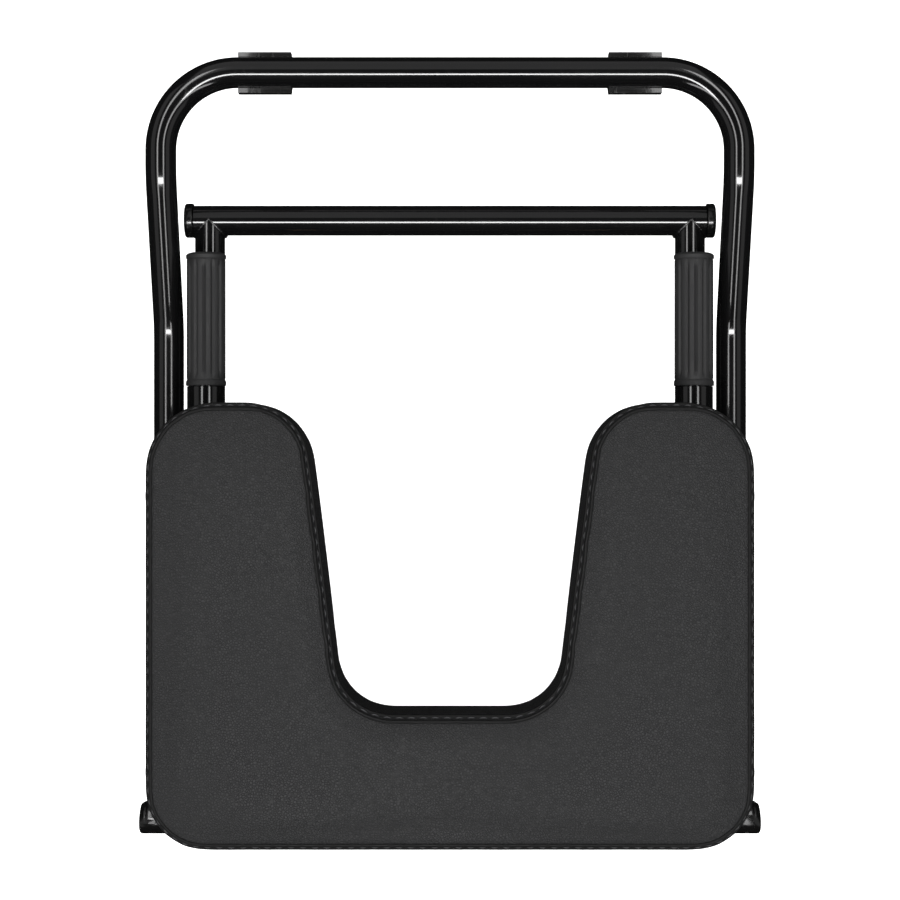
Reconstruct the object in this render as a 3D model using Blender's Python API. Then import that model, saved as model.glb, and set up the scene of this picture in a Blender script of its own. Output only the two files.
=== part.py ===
"""Fold-flat padded headstand bench, modelled folded.

A U-shaped padded seat lies on two crossed leg frames of round steel tube. The front leg is a
bent U loop. The rear leg is a ladder of tubes that swings inside it. Two gripped handles point
forwards from the seat rails.

Units are metres. +X is the bench's right, +Y its front (the front foot bar), +Z up. The origin
is the middle of the folded bench's footprint, at floor level.
"""

import math

import bmesh
import bpy
from mathutils import Matrix, Vector

# ---- Driving dimensions -------------------------------------------------------------------

FIT = 0.0003                # gap between pieces that touch
RUN = 0.0010                # running gap between parts that pass each other

LEG_R = 0.0100              # leg tube, outer radius
LEG_WALL = 0.0015
RAIL_STEP = 0.0025          # seat rail's radius over the leg tube's
RAIL_WALL = 0.0015
CAP_WALL = 0.0012           # rubber over the leg tubes' ends
CAP_END = 0.0030            # rubber across the leg tubes' ends
CAP_SOLE = 0.95             # rear caps' flat sole, as a share of their radius
CAP_SLANT = 0.0045          # rear caps' end, cut back opposite the sole
CAP_SLEEVE = 0.0230         # length of the rear caps

RAIL_X = 0.1605             # seat rails and rear side tubes, half spacing
SIDE_GAP = 0.0075           # between a rear side tube and a front leg tube
LINK = 0.1842               # seat hinge to leg pivot, and leg pivot to crossbar
REAR_BAR_BACK = 0.0300      # rear foot bar behind the seat hinge
FOOT_BAR_AHEAD = 0.0919     # front foot bar in front of the folded crossbar
JOG_REACH = 0.1737          # start of the front leg's first bend to its foot bar, along Y
JOG_RISE = 0.0407           # front foot bar above the rest of the front leg
BEND_ANGLE = math.radians(23)
BEND_R = 0.050
LOOP_R = 0.050              # corner of the front leg loop, at the tube's middle
LEG_TAIL = 0.0120           # front leg tube behind the seat hinge
REAR_BAR_OVER = 0.0090      # rear foot bar with its caps, outside the front leg

RAIL_TAIL = 0.0200          # rail behind the seat hinge
RAIL_AHEAD = 0.0726         # rail's front end in front of the leg pivot
HANDLE_INSERT = 0.0518      # handle tube inside the rail
HANDLE_REACH = 0.0850       # handle tube in front of the rail
GRIP_WALL = 0.00175
GRIP_RIM = 0.00045           # rims at the grip's ends, above its body
GRIP_END = 0.0027
REAR_TUBE_REACH = 0.0200    # seat hinge to the tube that joins the rails

PAD_OVER = 0.0305           # pad outside the rail's middle
PAD_REAR = 0.0360           # pad behind the seat hinge
PAD_SHORT = 0.0122          # pad's front behind the rail's front end
PAD_HEIGHT = 0.0602         # board and foam together
PAD_EDGE_R = 0.0110         # rounded upper edge
PAD_BACK_R = 0.038          # corner radii of the U outline
PAD_FRONT_R = 0.043
PAD_MOUTH_R = 0.039
PAD_NECK_R = 0.036
PAD_ARM = 0.0977            # width of each arm at the front
NECK_TAPER = 0.0248         # neck opening's side slants in by this much
PAD_WEB = 0.0845            # pad behind the neck opening
BOARD_T = 0.0100
COVER_T = 0.0012

FOOT_INSET = 0.0175         # middle of each front foot to the loop's corner
FOOT_LENGTH = 0.0345
FOOT_WALL = 0.0032          # rubber at the lips that hug the tube
FOOT_TAPER = 0.0020         # sole's half width under the tube's radius
FOOT_PAD = 0.0040           # rubber between the tube and the sole
FOOT_RISE = 0.0015          # lips above the tube's middle

BOLT_R = 0.0040
BOLT_HEAD_T = 0.0050
NUT_T = 0.0065
EAR_T = 0.0030
EAR_R = 0.0110
SCREW_R = 0.0025
SCREW_HEAD_R = 0.0045
SCREW_HEAD_T = 0.0023
ACCESS_R = 0.0055           # hole that lets a screw's head into the rail
SCREW_BACK = 0.0668         # front board screws behind the rail's front end
FOOT_SCREW_R = 0.0018
FOOT_SCREW_HEAD_R = 0.0035
FOOT_SCREW_SINK = 0.0030

OPEN_AHEAD = 0.0378         # crossbar in front of the folded pivot when the bench stands open
STOP_T = 0.0040
STOP_WIDTH = 0.0315
STOP_DROP = 0.0330          # stop plate below the rail's middle
LOCK_R = 0.0045             # sliding lock bolt
LOCK_CLEAR = 0.0004
BARREL_WALL = 0.0030
BARREL_SLOT = 0.0050
LOCK_LENGTH = 0.0203
LOCK_STOP_GAP = 0.0005      # lock bolt and stop plate to the crossbar
KNOB_R = 0.0055
KNOB_LENGTH = 0.0100
STEM_R = 0.0020

RING = 24                   # points round a straight tube or cap
SMALL_RING = 16             # points round a fastener, and round the bent tube

# ---- Levels and places that follow from them ----------------------------------------------

CAP_R = LEG_R + FIT + CAP_WALL
RAIL_R = LEG_R + RAIL_STEP
GRIP_R = RAIL_R - RAIL_WALL + GRIP_WALL
GRIP_RIM_R = GRIP_R + GRIP_RIM
BOLT_HEAD_R = 2 * BOLT_R
NUT_FLATS = 3.25 * BOLT_R
BARREL_R = LOCK_R + BARREL_WALL
LEG_Z = CAP_R
RAIL_Z = LEG_Z + LEG_R + RUN + RAIL_R
BOARD_Z = RAIL_Z + RAIL_R + FIT
PAD_TOP = BOARD_Z + PAD_HEIGHT
FRONT_X = RAIL_X + SIDE_GAP + 2 * LEG_R
REAR_BAR_HALF = FRONT_X + LEG_R + REAR_BAR_OVER

REAR_REACH = LINK + REAR_BAR_BACK           # leg pivot to rear foot bar
FRONT_REACH = 2 * LINK + FOOT_BAR_AHEAD     # seat hinge to front foot bar, along Y
BEND_REACH = FRONT_REACH - JOG_REACH
OPEN_REACH = LINK + OPEN_AHEAD              # seat hinge to the crossbar, standing open
RAIL_REACH = LINK + RAIL_AHEAD              # seat hinge to the rail's front end
SCREW_REACHES = (0.0, RAIL_REACH - SCREW_BACK)

PAD_HALF = RAIL_X + PAD_OVER
PAD_LENGTH = PAD_REAR + RAIL_REACH - PAD_SHORT
MOUTH_HALF = PAD_HALF - PAD_ARM             # half width of the neck opening's mouth
NECK_HALF = MOUTH_HALF - NECK_TAPER         # and of its closed end
NECK_DEPTH = PAD_LENGTH - PAD_WEB

FOOT_X = FRONT_X - LOOP_R - FOOT_INSET      # middle of each front foot
FOOT_LIP = LEG_R + FOOT_WALL
FOOT_SOLE = LEG_R - FOOT_TAPER
FOOT_DEPTH = LEG_R + FOOT_PAD
HINGE_Y = (REAR_BAR_BACK + CAP_R - FRONT_REACH - FOOT_LIP) / 2

PIVOT_Y = HINGE_Y + LINK
CROSSBAR_Y = HINGE_Y + 2 * LINK
REAR_BAR_Y = PIVOT_Y - REAR_REACH
RAIL_FRONT = HINGE_Y + RAIL_REACH
PAD_BACK = HINGE_Y - PAD_REAR
LOCK_Y = HINGE_Y + OPEN_REACH + LEG_R + LOCK_STOP_GAP + LOCK_R
LOCK_X = RAIL_X - RAIL_R - FIT - BARREL_R
OPEN_ANGLE = math.acos(OPEN_REACH / (2 * LINK))
FOOT_FLANK = (FOOT_LIP - FOOT_SOLE) * math.tan(OPEN_ANGLE)  # flat on the floor when open
SOLE_ANGLE = -math.pi / 2 - OPEN_ANGLE      # the way the rear caps face the floor when open

SIDES = (("left", -1.0), ("right", 1.0))
ORIGINS = {
    "front_leg": Vector((0.0, 0.0, 0.0)),
    "rear_leg": Vector((0.0, PIVOT_Y, LEG_Z)),
    "seat": Vector((0.0, HINGE_Y, LEG_Z)),
    "lock_left": Vector((-LOCK_X, LOCK_Y, RAIL_Z)),
    "lock_right": Vector((LOCK_X, LOCK_Y, RAIL_Z)),
}
FINISHES = {                # base colour, roughness, metallic
    "black_paint": ((0.010, 0.010, 0.011), 0.22, 0.0),
    "grip_rubber": ((0.045, 0.045, 0.047), 0.75, 0.0),
    "foot_rubber": ((0.018, 0.018, 0.018), 0.60, 0.0),
    "plug_plastic": ((0.014, 0.014, 0.014), 0.45, 0.0),
    "vinyl": ((0.045, 0.045, 0.047), 0.50, 0.0),
    "foam": ((0.75, 0.70, 0.45), 0.95, 0.0),
    "plywood": ((0.52, 0.36, 0.20), 0.70, 0.0),
    "zinc": ((0.60, 0.60, 0.58), 0.35, 1.0),
    "nylon": ((0.70, 0.70, 0.66), 0.50, 0.0),
}

# ---- Scene helpers ------------------------------------------------------------------------


def clear_scene():
    for item in list(bpy.data.objects):
        bpy.data.objects.remove(item, do_unlink=True)


def make_finish(name):
    colour, roughness, metallic = FINISHES[name]
    finish = bpy.data.materials.new(name)
    finish.use_nodes = True
    shader = finish.node_tree.nodes["Principled BSDF"]
    shader.inputs["Base Color"].default_value = (*colour, 1.0)
    shader.inputs["Roughness"].default_value = roughness
    shader.inputs["Metallic"].default_value = metallic
    finish.diffuse_color = (*colour, 1.0)
    return finish


def make_body(name):
    """An empty on the body's joint axis, which its pieces are parented to."""
    body = bpy.data.objects.new("body_" + name, None)
    body.location = ORIGINS[name]
    bpy.context.collection.objects.link(body)
    return body


def frame_at(origin, direction):
    """A frame whose Z runs along direction."""
    turn = Vector(direction).to_track_quat("Z", "Y").to_matrix().to_4x4()
    return Matrix.Translation(Vector(origin)) @ turn


def ring(frame, height, radius, count=RING):
    """Points round the frame's Z at a height; radius is a size, or a function of the angle."""
    points = []
    for step in range(count):
        angle = 2 * math.pi * step / count
        size = radius(angle) if callable(radius) else radius
        points.append(frame @ Vector((size * math.cos(angle), size * math.sin(angle), height)))
    return points


def loft(rings, joined=False):
    """Skin successive rings. Joined closes the last ring on the first; otherwise both ends fill."""
    shell = bmesh.new()
    rows = [[shell.verts.new(point) for point in points] for points in rings]
    pairs = list(zip(rows, rows[1:]))
    if joined:
        pairs.append((rows[-1], rows[0]))
    else:
        shell.faces.new(list(reversed(rows[0])))
        shell.faces.new(rows[-1])
    for low, high in pairs:
        for here in range(len(low)):
            after = (here + 1) % len(low)
            shell.faces.new((low[here], low[after], high[after], high[here]))
    bmesh.ops.recalc_face_normals(shell, faces=shell.faces)
    return shell


class Bench:
    """Keeps the bodies and finishes, and adds pieces to them."""

    def __init__(self):
        self.bodies = {name: make_body(name) for name in ORIGINS}
        self.finishes = {name: make_finish(name) for name in FINISHES}

    def add(self, name, body, finish, rings, joined=False):
        shell = loft(rings, joined)
        bmesh.ops.translate(shell, vec=-ORIGINS[body], verts=shell.verts)
        mesh = bpy.data.meshes.new(name)
        shell.to_mesh(mesh)
        shell.free()
        mesh.shade_smooth()
        mesh.set_sharp_from_angle(angle=math.radians(35))
        mesh.materials.append(self.finishes[finish])
        piece = bpy.data.objects.new(name, mesh)
        piece.parent = self.bodies[body]
        bpy.context.collection.objects.link(piece)
        return piece

    def drill(self, piece, frame, depth, radius):
        """Cut a round hole that starts at the frame and runs along its Z."""
        body = piece.parent.name.removeprefix("body_")
        name = piece.name + "_hole"
        ends = turned(frame, [(0.0, radius), (depth, radius)], SMALL_RING)
        cutter = self.add(name, body, "zinc", ends)
        cutter.hide_render = True
        cutter.display_type = "WIRE"
        cut = piece.modifiers.new("hole", "BOOLEAN")
        cut.operation = "DIFFERENCE"
        cut.solver = "EXACT"
        cut.object = cutter


def turned(frame, stations, count=RING):
    """Rings of a turned solid from (height, radius) stations."""
    return [ring(frame, height, radius, count) for height, radius in stations]


def tube_walls(frame, start, end, outer, inner, count=RING):
    """Rings of a straight open tube, to be lofted joined."""
    return turned(frame, [(start, outer), (end, outer), (end, inner), (start, inner)], count)


def along_x(sign, y, z):
    return frame_at((0.0, y, z), (sign, 0.0, 0.0))


def along_y(x, z):
    return frame_at((x, 0.0, z), (0.0, 1.0, 0.0))


def hexagon(flats):
    """Radius of a hexagon as a function of the angle."""
    def radius(angle):
        return flats / 2 / math.cos((angle + math.pi / 6) % (math.pi / 3) - math.pi / 6)
    return radius


def by_side_view(frame, size):
    """A radius by the angle in the world's YZ plane, made one for a frame that runs along X."""
    turn = frame.to_3x3()

    def radius(angle):
        point = turn @ Vector((math.cos(angle), math.sin(angle), 0.0))
        return size(math.atan2(point.z, point.y))
    return radius


def cope(bar_radius, offset):
    """How far a fitted end stands off a round bar's middle, at an offset across the bar."""
    return math.sqrt((bar_radius + FIT) ** 2 - offset ** 2)


# ---- The front leg: a bent loop -----------------------------------------------------------


def foot_bar_place():
    """Y and Z of the front foot bar's middle."""
    return HINGE_Y + FRONT_REACH, LEG_Z + JOG_RISE


def loop_half_path():
    """Middle line of the loop's right half, from its rear end to the foot bar's middle."""
    bend_y = HINGE_Y + BEND_REACH
    path = [Vector((FRONT_X, HINGE_Y - LEG_TAIL, LEG_Z))]
    for step in range(6):
        angle = BEND_ANGLE * step / 5
        rise = BEND_R * (1 - math.cos(angle))
        path.append(Vector((FRONT_X, bend_y + BEND_R * math.sin(angle), LEG_Z + rise)))
    bends_rise = 2 * BEND_R * (1 - math.cos(BEND_ANGLE))
    slope = (JOG_RISE - bends_rise) / math.tan(BEND_ANGLE)
    start = path[-1] + Vector((0.0, slope, JOG_RISE - bends_rise))
    for step in range(6):
        angle = BEND_ANGLE * (1 - step / 5)
        reach = BEND_R * (math.sin(BEND_ANGLE) - math.sin(angle))
        rise = BEND_R * (math.cos(angle) - math.cos(BEND_ANGLE))
        path.append(start + Vector((0.0, reach, rise)))
    bar_y, bar_z = foot_bar_place()
    centre = Vector((FRONT_X - LOOP_R, bar_y - LOOP_R, bar_z))
    for step in range(11):
        angle = math.pi / 2 * step / 10
        path.append(centre + Vector((math.cos(angle), math.sin(angle), 0.0)) * LOOP_R)
    return path


def swept_rings(path, radius):
    """Rings square to a path, each turned on from the one before without twisting."""
    rings = []
    side = Vector((0.0, 0.0, 1.0))
    for here, point in enumerate(path):
        before = path[max(here - 1, 0)]
        after = path[min(here + 1, len(path) - 1)]
        ahead = (after - before).normalized()
        side = (side - ahead * side.dot(ahead)).normalized()
        across = ahead.cross(side)
        frame = Matrix((across, side, ahead)).transposed().to_4x4()
        frame.translation = point
        rings.append(ring(frame, 0.0, radius, SMALL_RING))
    return rings


def build_front_leg(bench):
    half = loop_half_path()
    mirrored = [Vector((-point.x, point.y, point.z)) for point in reversed(half)]
    path = half + mirrored
    walls = swept_rings(path, LEG_R) + list(reversed(swept_rings(path, LEG_R - LEG_WALL)))
    loop = bench.add("front_leg_tube", "front_leg", "black_paint", walls, joined=True)
    for side, sign in SIDES:
        for y in (HINGE_Y, PIVOT_Y):
            start = (sign * (FRONT_X - 1.3 * LEG_R), y, LEG_Z)
            bench.drill(loop, frame_at(start, (sign, 0, 0)), 2.6 * LEG_R, BOLT_R + FIT)
        build_front_plug(bench, side, sign)
        build_front_foot(bench, loop, side, sign)


def build_front_plug(bench, side, sign):
    end = HINGE_Y - LEG_TAIL - FIT
    plug = [(end - 0.002, 0.8 * LEG_R), (end - 0.0015, LEG_R), (end, LEG_R)]
    plug += [(end, LEG_R - LEG_WALL - FIT), (end + 0.0055, LEG_R - LEG_WALL - FIT)]
    rings = turned(along_y(sign * FRONT_X, LEG_Z), plug, SMALL_RING)
    bench.add("front_leg_plug_" + side, "front_leg", "plug_plastic", rings)


def foot_section():
    """Section of a front foot: (across, up) points from the tube's middle.

    Its slanted flanks lie flat on the floor when the bench stands open.
    """
    bore = LEG_R + FIT
    lip_angle = math.asin(FOOT_RISE / bore)
    section = [(-FOOT_SOLE, -FOOT_DEPTH), (FOOT_SOLE, -FOOT_DEPTH)]
    flank_top = FOOT_FLANK - FOOT_DEPTH
    section += [(FOOT_LIP, flank_top), (FOOT_LIP, FOOT_RISE)]
    for step in range(13):
        angle = lip_angle - (math.pi + 2 * lip_angle) * step / 12
        section.append((bore * math.cos(angle), bore * math.sin(angle)))
    section += [(-FOOT_LIP, FOOT_RISE), (-FOOT_LIP, flank_top)]
    return section


def build_front_foot(bench, loop, side, sign):
    bar_y, bar_z = foot_bar_place()
    bar = Vector((0.0, bar_y, bar_z))
    ahead, up = Vector((0.0, 1.0, 0.0)), Vector((0.0, 0.0, 1.0))
    rings = []
    for end in (-0.5, 0.5):
        x = Vector((sign * FOOT_X + end * FOOT_LENGTH, 0.0, 0.0))
        rings.append([bar + x + ahead * across + up * rise for across, rise in foot_section()])
    foot = bench.add("front_foot_" + side, "front_leg", "foot_rubber", rings)

    sole = bar + Vector((sign * FOOT_X, 0.0, 0.0)) - up * FOOT_DEPTH
    bench.drill(foot, frame_at(sole - up * 0.001, up), FOOT_DEPTH, FOOT_SCREW_R + FIT)
    recess = FOOT_SCREW_HEAD_R + FIT
    bench.drill(foot, frame_at(sole - up * 0.001, up), FOOT_SCREW_SINK + 0.001, recess)
    wall = sole + up * (FOOT_DEPTH - LEG_R - 0.001)
    bench.drill(loop, frame_at(wall, up), LEG_WALL + 0.002, FOOT_SCREW_R + FIT)
    head_top = FOOT_SCREW_SINK - FIT
    screw = [(0.0006, 0.7 * FOOT_SCREW_HEAD_R), (0.0012, FOOT_SCREW_HEAD_R)]
    screw += [(head_top, FOOT_SCREW_HEAD_R), (head_top, FOOT_SCREW_R)]
    screw += [(FOOT_DEPTH - LEG_R + LEG_WALL + 0.002, FOOT_SCREW_R)]
    rings = turned(frame_at(sole, up), screw, 12)
    bench.add("front_foot_screw_" + side, "front_leg", "zinc", rings)


# ---- The rear leg: a ladder frame ---------------------------------------------------------


def build_rear_leg(bench):
    inner = LEG_R - LEG_WALL
    bar_end = REAR_BAR_HALF - CAP_END - FIT
    rings = tube_walls(along_x(1, REAR_BAR_Y, LEG_Z), -bar_end, bar_end, LEG_R, inner)
    bench.add("rear_foot_bar", "rear_leg", "black_paint", rings, joined=True)
    cross_end = RAIL_X + LEG_R + 2 * FIT
    rings = tube_walls(along_x(1, CROSSBAR_Y, LEG_Z), -cross_end, cross_end, LEG_R, inner)
    bench.add("rear_crossbar", "rear_leg", "black_paint", rings, joined=True)
    for side, sign in SIDES:
        build_rear_side_tube(bench, side, sign)
        build_rear_cap(bench, side, sign)
        face = FRONT_X - LEG_R - RUN
        cap = [(cross_end - 0.010, inner - FIT), (cross_end + FIT, inner - FIT)]
        cap += [(cross_end + FIT, CAP_R), (face - 0.001, CAP_R), (face, CAP_R - 0.001)]
        rings = turned(along_x(sign, CROSSBAR_Y, LEG_Z), cap)
        bench.add("crossbar_cap_" + side, "rear_leg", "foot_rubber", rings)


def side_tube_ring(sign, radius, bar_y, facing):
    """A side tube's end ring, fitted to the round bar that it is welded to."""
    points = []
    for step in range(RING):
        angle = 2 * math.pi * (step + 0.5) / RING
        rise = radius * math.sin(angle)
        x = sign * RAIL_X + radius * math.cos(angle)
        points.append(Vector((x, bar_y + facing * cope(LEG_R, rise), LEG_Z + rise)))
    return points


def build_rear_side_tube(bench, side, sign):
    inner = LEG_R - LEG_WALL
    rings = [side_tube_ring(sign, LEG_R, REAR_BAR_Y, 1), side_tube_ring(sign, LEG_R, CROSSBAR_Y, -1)]
    rings += [side_tube_ring(sign, inner, CROSSBAR_Y, -1), side_tube_ring(sign, inner, REAR_BAR_Y, 1)]
    tube = bench.add("rear_side_tube_" + side, "rear_leg", "black_paint", rings, joined=True)
    start = (sign * (RAIL_X - 1.3 * LEG_R), PIVOT_Y, LEG_Z)
    bench.drill(tube, frame_at(start, (sign, 0, 0)), 2.6 * LEG_R, BOLT_R + FIT)


def build_rear_cap(bench, side, sign):
    """A sleeve with a closed end, a flat sole, and a slanted end opposite the sole."""
    frame = along_x(sign, REAR_BAR_Y, LEG_Z)

    def outline(radius, slant):
        def size(angle):
            toward = math.cos(angle - SOLE_ANGLE)
            flat = CAP_SOLE * CAP_R / toward if toward > 0.5 else radius
            return min(radius, flat) - slant * max(0.0, -toward)
        return by_side_view(frame, size)

    bore = LEG_R + FIT
    mouth = REAR_BAR_HALF - CAP_SLEEVE
    floor = REAR_BAR_HALF - CAP_END
    outer = outline(CAP_R, 0.0)
    stations = [(floor, bore), (mouth, bore), (mouth, outer), (REAR_BAR_HALF - 0.006, outer)]
    stations += [(REAR_BAR_HALF - 0.001, outline(CAP_R, CAP_SLANT))]
    stations += [(REAR_BAR_HALF, outline(CAP_R - 0.001, CAP_SLANT))]
    rings = turned(frame, stations)
    bench.add("rear_foot_cap_" + side, "rear_leg", "foot_rubber", rings)


# ---- Pivots -------------------------------------------------------------------------------


def build_pivots(bench):
    bolt_hole = BOLT_R + FIT
    under_head = FRONT_X + LEG_R + FIT
    head_top = under_head + BOLT_HEAD_T
    head = [(under_head, BOLT_R), (under_head, BOLT_HEAD_R)]
    head += [(head_top - 0.002, BOLT_HEAD_R), (head_top - 0.0006, 0.82 * BOLT_HEAD_R)]
    head += [(head_top, 0.55 * BOLT_HEAD_R)]
    nut_out = RAIL_X - LEG_R - FIT
    for side, sign in SIDES:
        at_pivot = along_x(sign, PIVOT_Y, LEG_Z)
        bolt = [(nut_out - NUT_T - 0.0015, BOLT_R)] + head
        bench.add("pivot_bolt_" + side, "front_leg", "zinc", turned(at_pivot, bolt, SMALL_RING))
        nut = [(nut_out - NUT_T, hexagon(NUT_FLATS)), (nut_out, hexagon(NUT_FLATS))]
        nut += [(nut_out, bolt_hole), (nut_out - NUT_T, bolt_hole)]
        bench.add("pivot_nut_" + side, "front_leg", "zinc", turned(at_pivot, nut, 12), joined=True)
        near, far = RAIL_X + LEG_R + FIT, FRONT_X - LEG_R - FIT
        rings = tube_walls(at_pivot, near, far, 2 * BOLT_R, bolt_hole, SMALL_RING)
        bench.add("pivot_spacer_" + side, "front_leg", "nylon", rings, joined=True)

        at_hinge = along_x(sign, HINGE_Y, LEG_Z)
        ear_in = RAIL_X + RAIL_R + FIT
        bolt = [(ear_in - 0.0015, BOLT_R)] + head
        bench.add("hinge_bolt_" + side, "seat", "zinc", turned(at_hinge, bolt, SMALL_RING))
        near = ear_in + EAR_T + FIT
        rings = tube_walls(at_hinge, near, far, 2 * BOLT_R, bolt_hole, SMALL_RING)
        bench.add("hinge_washer_" + side, "front_leg", "nylon", rings, joined=True)
        build_ear(bench, side, at_hinge, ear_in)


def ear_size(angle):
    """Radius of an upright plate with round ends, by the angle in the YZ plane."""
    top = RAIL_Z - LEG_Z
    across, up = abs(math.cos(angle)), math.sin(angle)
    if up <= 0:
        return EAR_R
    if up * EAR_R <= across * top:
        return EAR_R / across
    return up * top + math.sqrt(EAR_R ** 2 - (across * top) ** 2)


def build_ear(bench, side, at_hinge, ear_in):
    """An upright plate beside the rail, with the hinge bolt's hole."""
    ear_out = ear_in + EAR_T
    edge = by_side_view(at_hinge, ear_size)
    hole = BOLT_R + FIT
    rings = turned(at_hinge, [(ear_in, edge), (ear_out, edge), (ear_out, hole), (ear_in, hole)], 48)
    bench.add("hinge_ear_" + side, "seat", "black_paint", rings, joined=True)


# ---- Seat frame and handles ---------------------------------------------------------------


def build_seat_frame(bench):
    for side, sign in SIDES:
        axis = along_y(sign * RAIL_X, RAIL_Z)
        rail_in = RAIL_R - RAIL_WALL
        rail_back = HINGE_Y - RAIL_TAIL
        rings = tube_walls(axis, rail_back, RAIL_FRONT, RAIL_R, rail_in)
        rail = bench.add("seat_rail_" + side, "seat", "black_paint", rings, joined=True)
        for reach in SCREW_REACHES:
            start = Vector((sign * RAIL_X, HINGE_Y + reach, RAIL_Z))
            bench.drill(rail, frame_at(start, (0, 0, -1)), 1.3 * RAIL_R, ACCESS_R)
            bench.drill(rail, frame_at(start, (0, 0, 1)), 1.3 * RAIL_R, SCREW_R + FIT)
        plug = [(rail_back - FIT - 0.002, 0.8 * RAIL_R), (rail_back - FIT - 0.0015, RAIL_R)]
        plug += [(rail_back - FIT, RAIL_R), (rail_back - FIT, rail_in - FIT)]
        plug += [(rail_back + 0.010, rail_in - FIT)]
        bench.add("rail_plug_" + side, "seat", "plug_plastic", turned(axis, plug, SMALL_RING))
        build_handle(bench, side, axis)
    build_rear_tube(bench)


def build_handle(bench, side, axis):
    outer = RAIL_R - RAIL_WALL - FIT
    start = RAIL_FRONT - HANDLE_INSERT
    end = RAIL_FRONT + HANDLE_REACH
    rings = tube_walls(axis, start, end, outer, outer - LEG_WALL)
    bench.add("handle_tube_" + side, "seat", "black_paint", rings, joined=True)
    bore = outer + FIT
    grip_back = RAIL_FRONT + FIT
    tip = end + FIT + GRIP_END
    grip = [(end + FIT, bore), (grip_back, bore), (grip_back, GRIP_RIM_R)]
    grip += [(grip_back + 0.003, GRIP_RIM_R), (grip_back + 0.004, GRIP_R)]
    grip += [(tip - 0.0055, GRIP_R), (tip - 0.005, GRIP_RIM_R), (tip - 0.0025, GRIP_RIM_R)]
    grip += [(tip - 0.0007, 0.92 * GRIP_R), (tip, 0.75 * GRIP_R)]
    bench.add("grip_" + side, "seat", "grip_rubber", turned(axis, grip))


def rear_tube_ring(radius, sign):
    """The rail-joining tube's end ring, fitted to the rail's side."""
    y = HINGE_Y + REAR_TUBE_REACH
    points = []
    for step in range(RING):
        angle = 2 * math.pi * (step + 0.5) / RING
        rise = radius * math.sin(angle)
        x = sign * (RAIL_X - cope(RAIL_R, rise))
        points.append(Vector((x, y + radius * math.cos(angle), RAIL_Z + rise)))
    return points


def build_rear_tube(bench):
    inner = LEG_R - LEG_WALL
    rings = [rear_tube_ring(LEG_R, -1), rear_tube_ring(LEG_R, 1)]
    rings += [rear_tube_ring(inner, 1), rear_tube_ring(inner, -1)]
    bench.add("seat_rear_tube", "seat", "black_paint", rings, joined=True)


# ---- Stops and locks ----------------------------------------------------------------------


def stop_section(sign):
    """Outline (x, z) of a stop plate, hollowed where it is welded to the rail."""
    reach = RAIL_R + FIT
    edge = RAIL_X - LEG_R - RUN
    half = math.acos((RAIL_X - edge) / reach)
    low = RAIL_Z - STOP_DROP
    high = RAIL_Z + 0.9 * RAIL_R
    inboard = edge - STOP_WIDTH
    section = [(inboard + 0.004, low), (edge, low)]
    for step in range(9):
        angle = math.pi + half - 2 * half * step / 8
        section.append((RAIL_X + reach * math.cos(angle), RAIL_Z + reach * math.sin(angle)))
    section += [(edge, high), (inboard + 0.004, high), (inboard, high - 0.004)]
    section += [(inboard, low + 0.004)]
    return [(sign * x, z) for x, z in section]


def build_lock(bench, side, sign):
    """The stop plate that meets the crossbar, and the bolt that drops in front of it."""
    stop_front = HINGE_Y + OPEN_REACH - LEG_R - LOCK_STOP_GAP
    rings = []
    for y in (stop_front - STOP_T, stop_front):
        rings.append([Vector((x, y, z)) for x, z in stop_section(sign)])
    bench.add("lock_stop_" + side, "seat", "black_paint", rings)

    bore = LOCK_R + LOCK_CLEAR
    half_slot = BARREL_SLOT / 2
    section = []
    for radius, steps in ((BARREL_R, range(17)), (bore, range(16, -1, -1))):
        mouth = math.asin(half_slot / radius)
        for step in steps:
            angle = mouth + (2 * math.pi - 2 * mouth) * step / 16
            section.append((-sign * radius * math.cos(angle), radius * math.sin(angle)))
    rings = []
    for z in (LEG_Z + LEG_R + 1.7 * RUN, BOARD_Z - 2 * FIT):
        rings.append([Vector((sign * LOCK_X + x, LOCK_Y + y, z)) for x, y in section])
    bench.add("lock_barrel_" + side, "seat", "black_paint", rings)

    body = "lock_" + side
    low = LEG_Z + LEG_R + 1.2 * RUN
    upright = frame_at((sign * LOCK_X, LOCK_Y, 0.0), (0, 0, 1))
    bolt = [(low, 0.7 * LOCK_R), (low + 0.0015, LOCK_R), (low + LOCK_LENGTH, LOCK_R)]
    bench.add("lock_bolt_" + side, body, "zinc", turned(upright, bolt, SMALL_RING))

    knob_z = low + LOCK_LENGTH - KNOB_R + 0.002
    inboard = frame_at((sign * LOCK_X, LOCK_Y, knob_z), (-sign, 0, 0))
    neck = BARREL_R + 0.004
    tip = neck + KNOB_LENGTH
    knob = [(LOCK_R + FIT, STEM_R), (neck, STEM_R), (neck, 0.6 * KNOB_R)]
    knob += [(neck + 0.003, 0.7 * KNOB_R), (neck + 0.006, KNOB_R), (tip - 0.0015, KNOB_R)]
    knob += [(tip, 0.7 * KNOB_R)]
    bench.add("lock_knob_" + side, body, "plug_plastic", turned(inboard, knob, SMALL_RING))


# ---- Pad and board ------------------------------------------------------------------------


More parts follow.
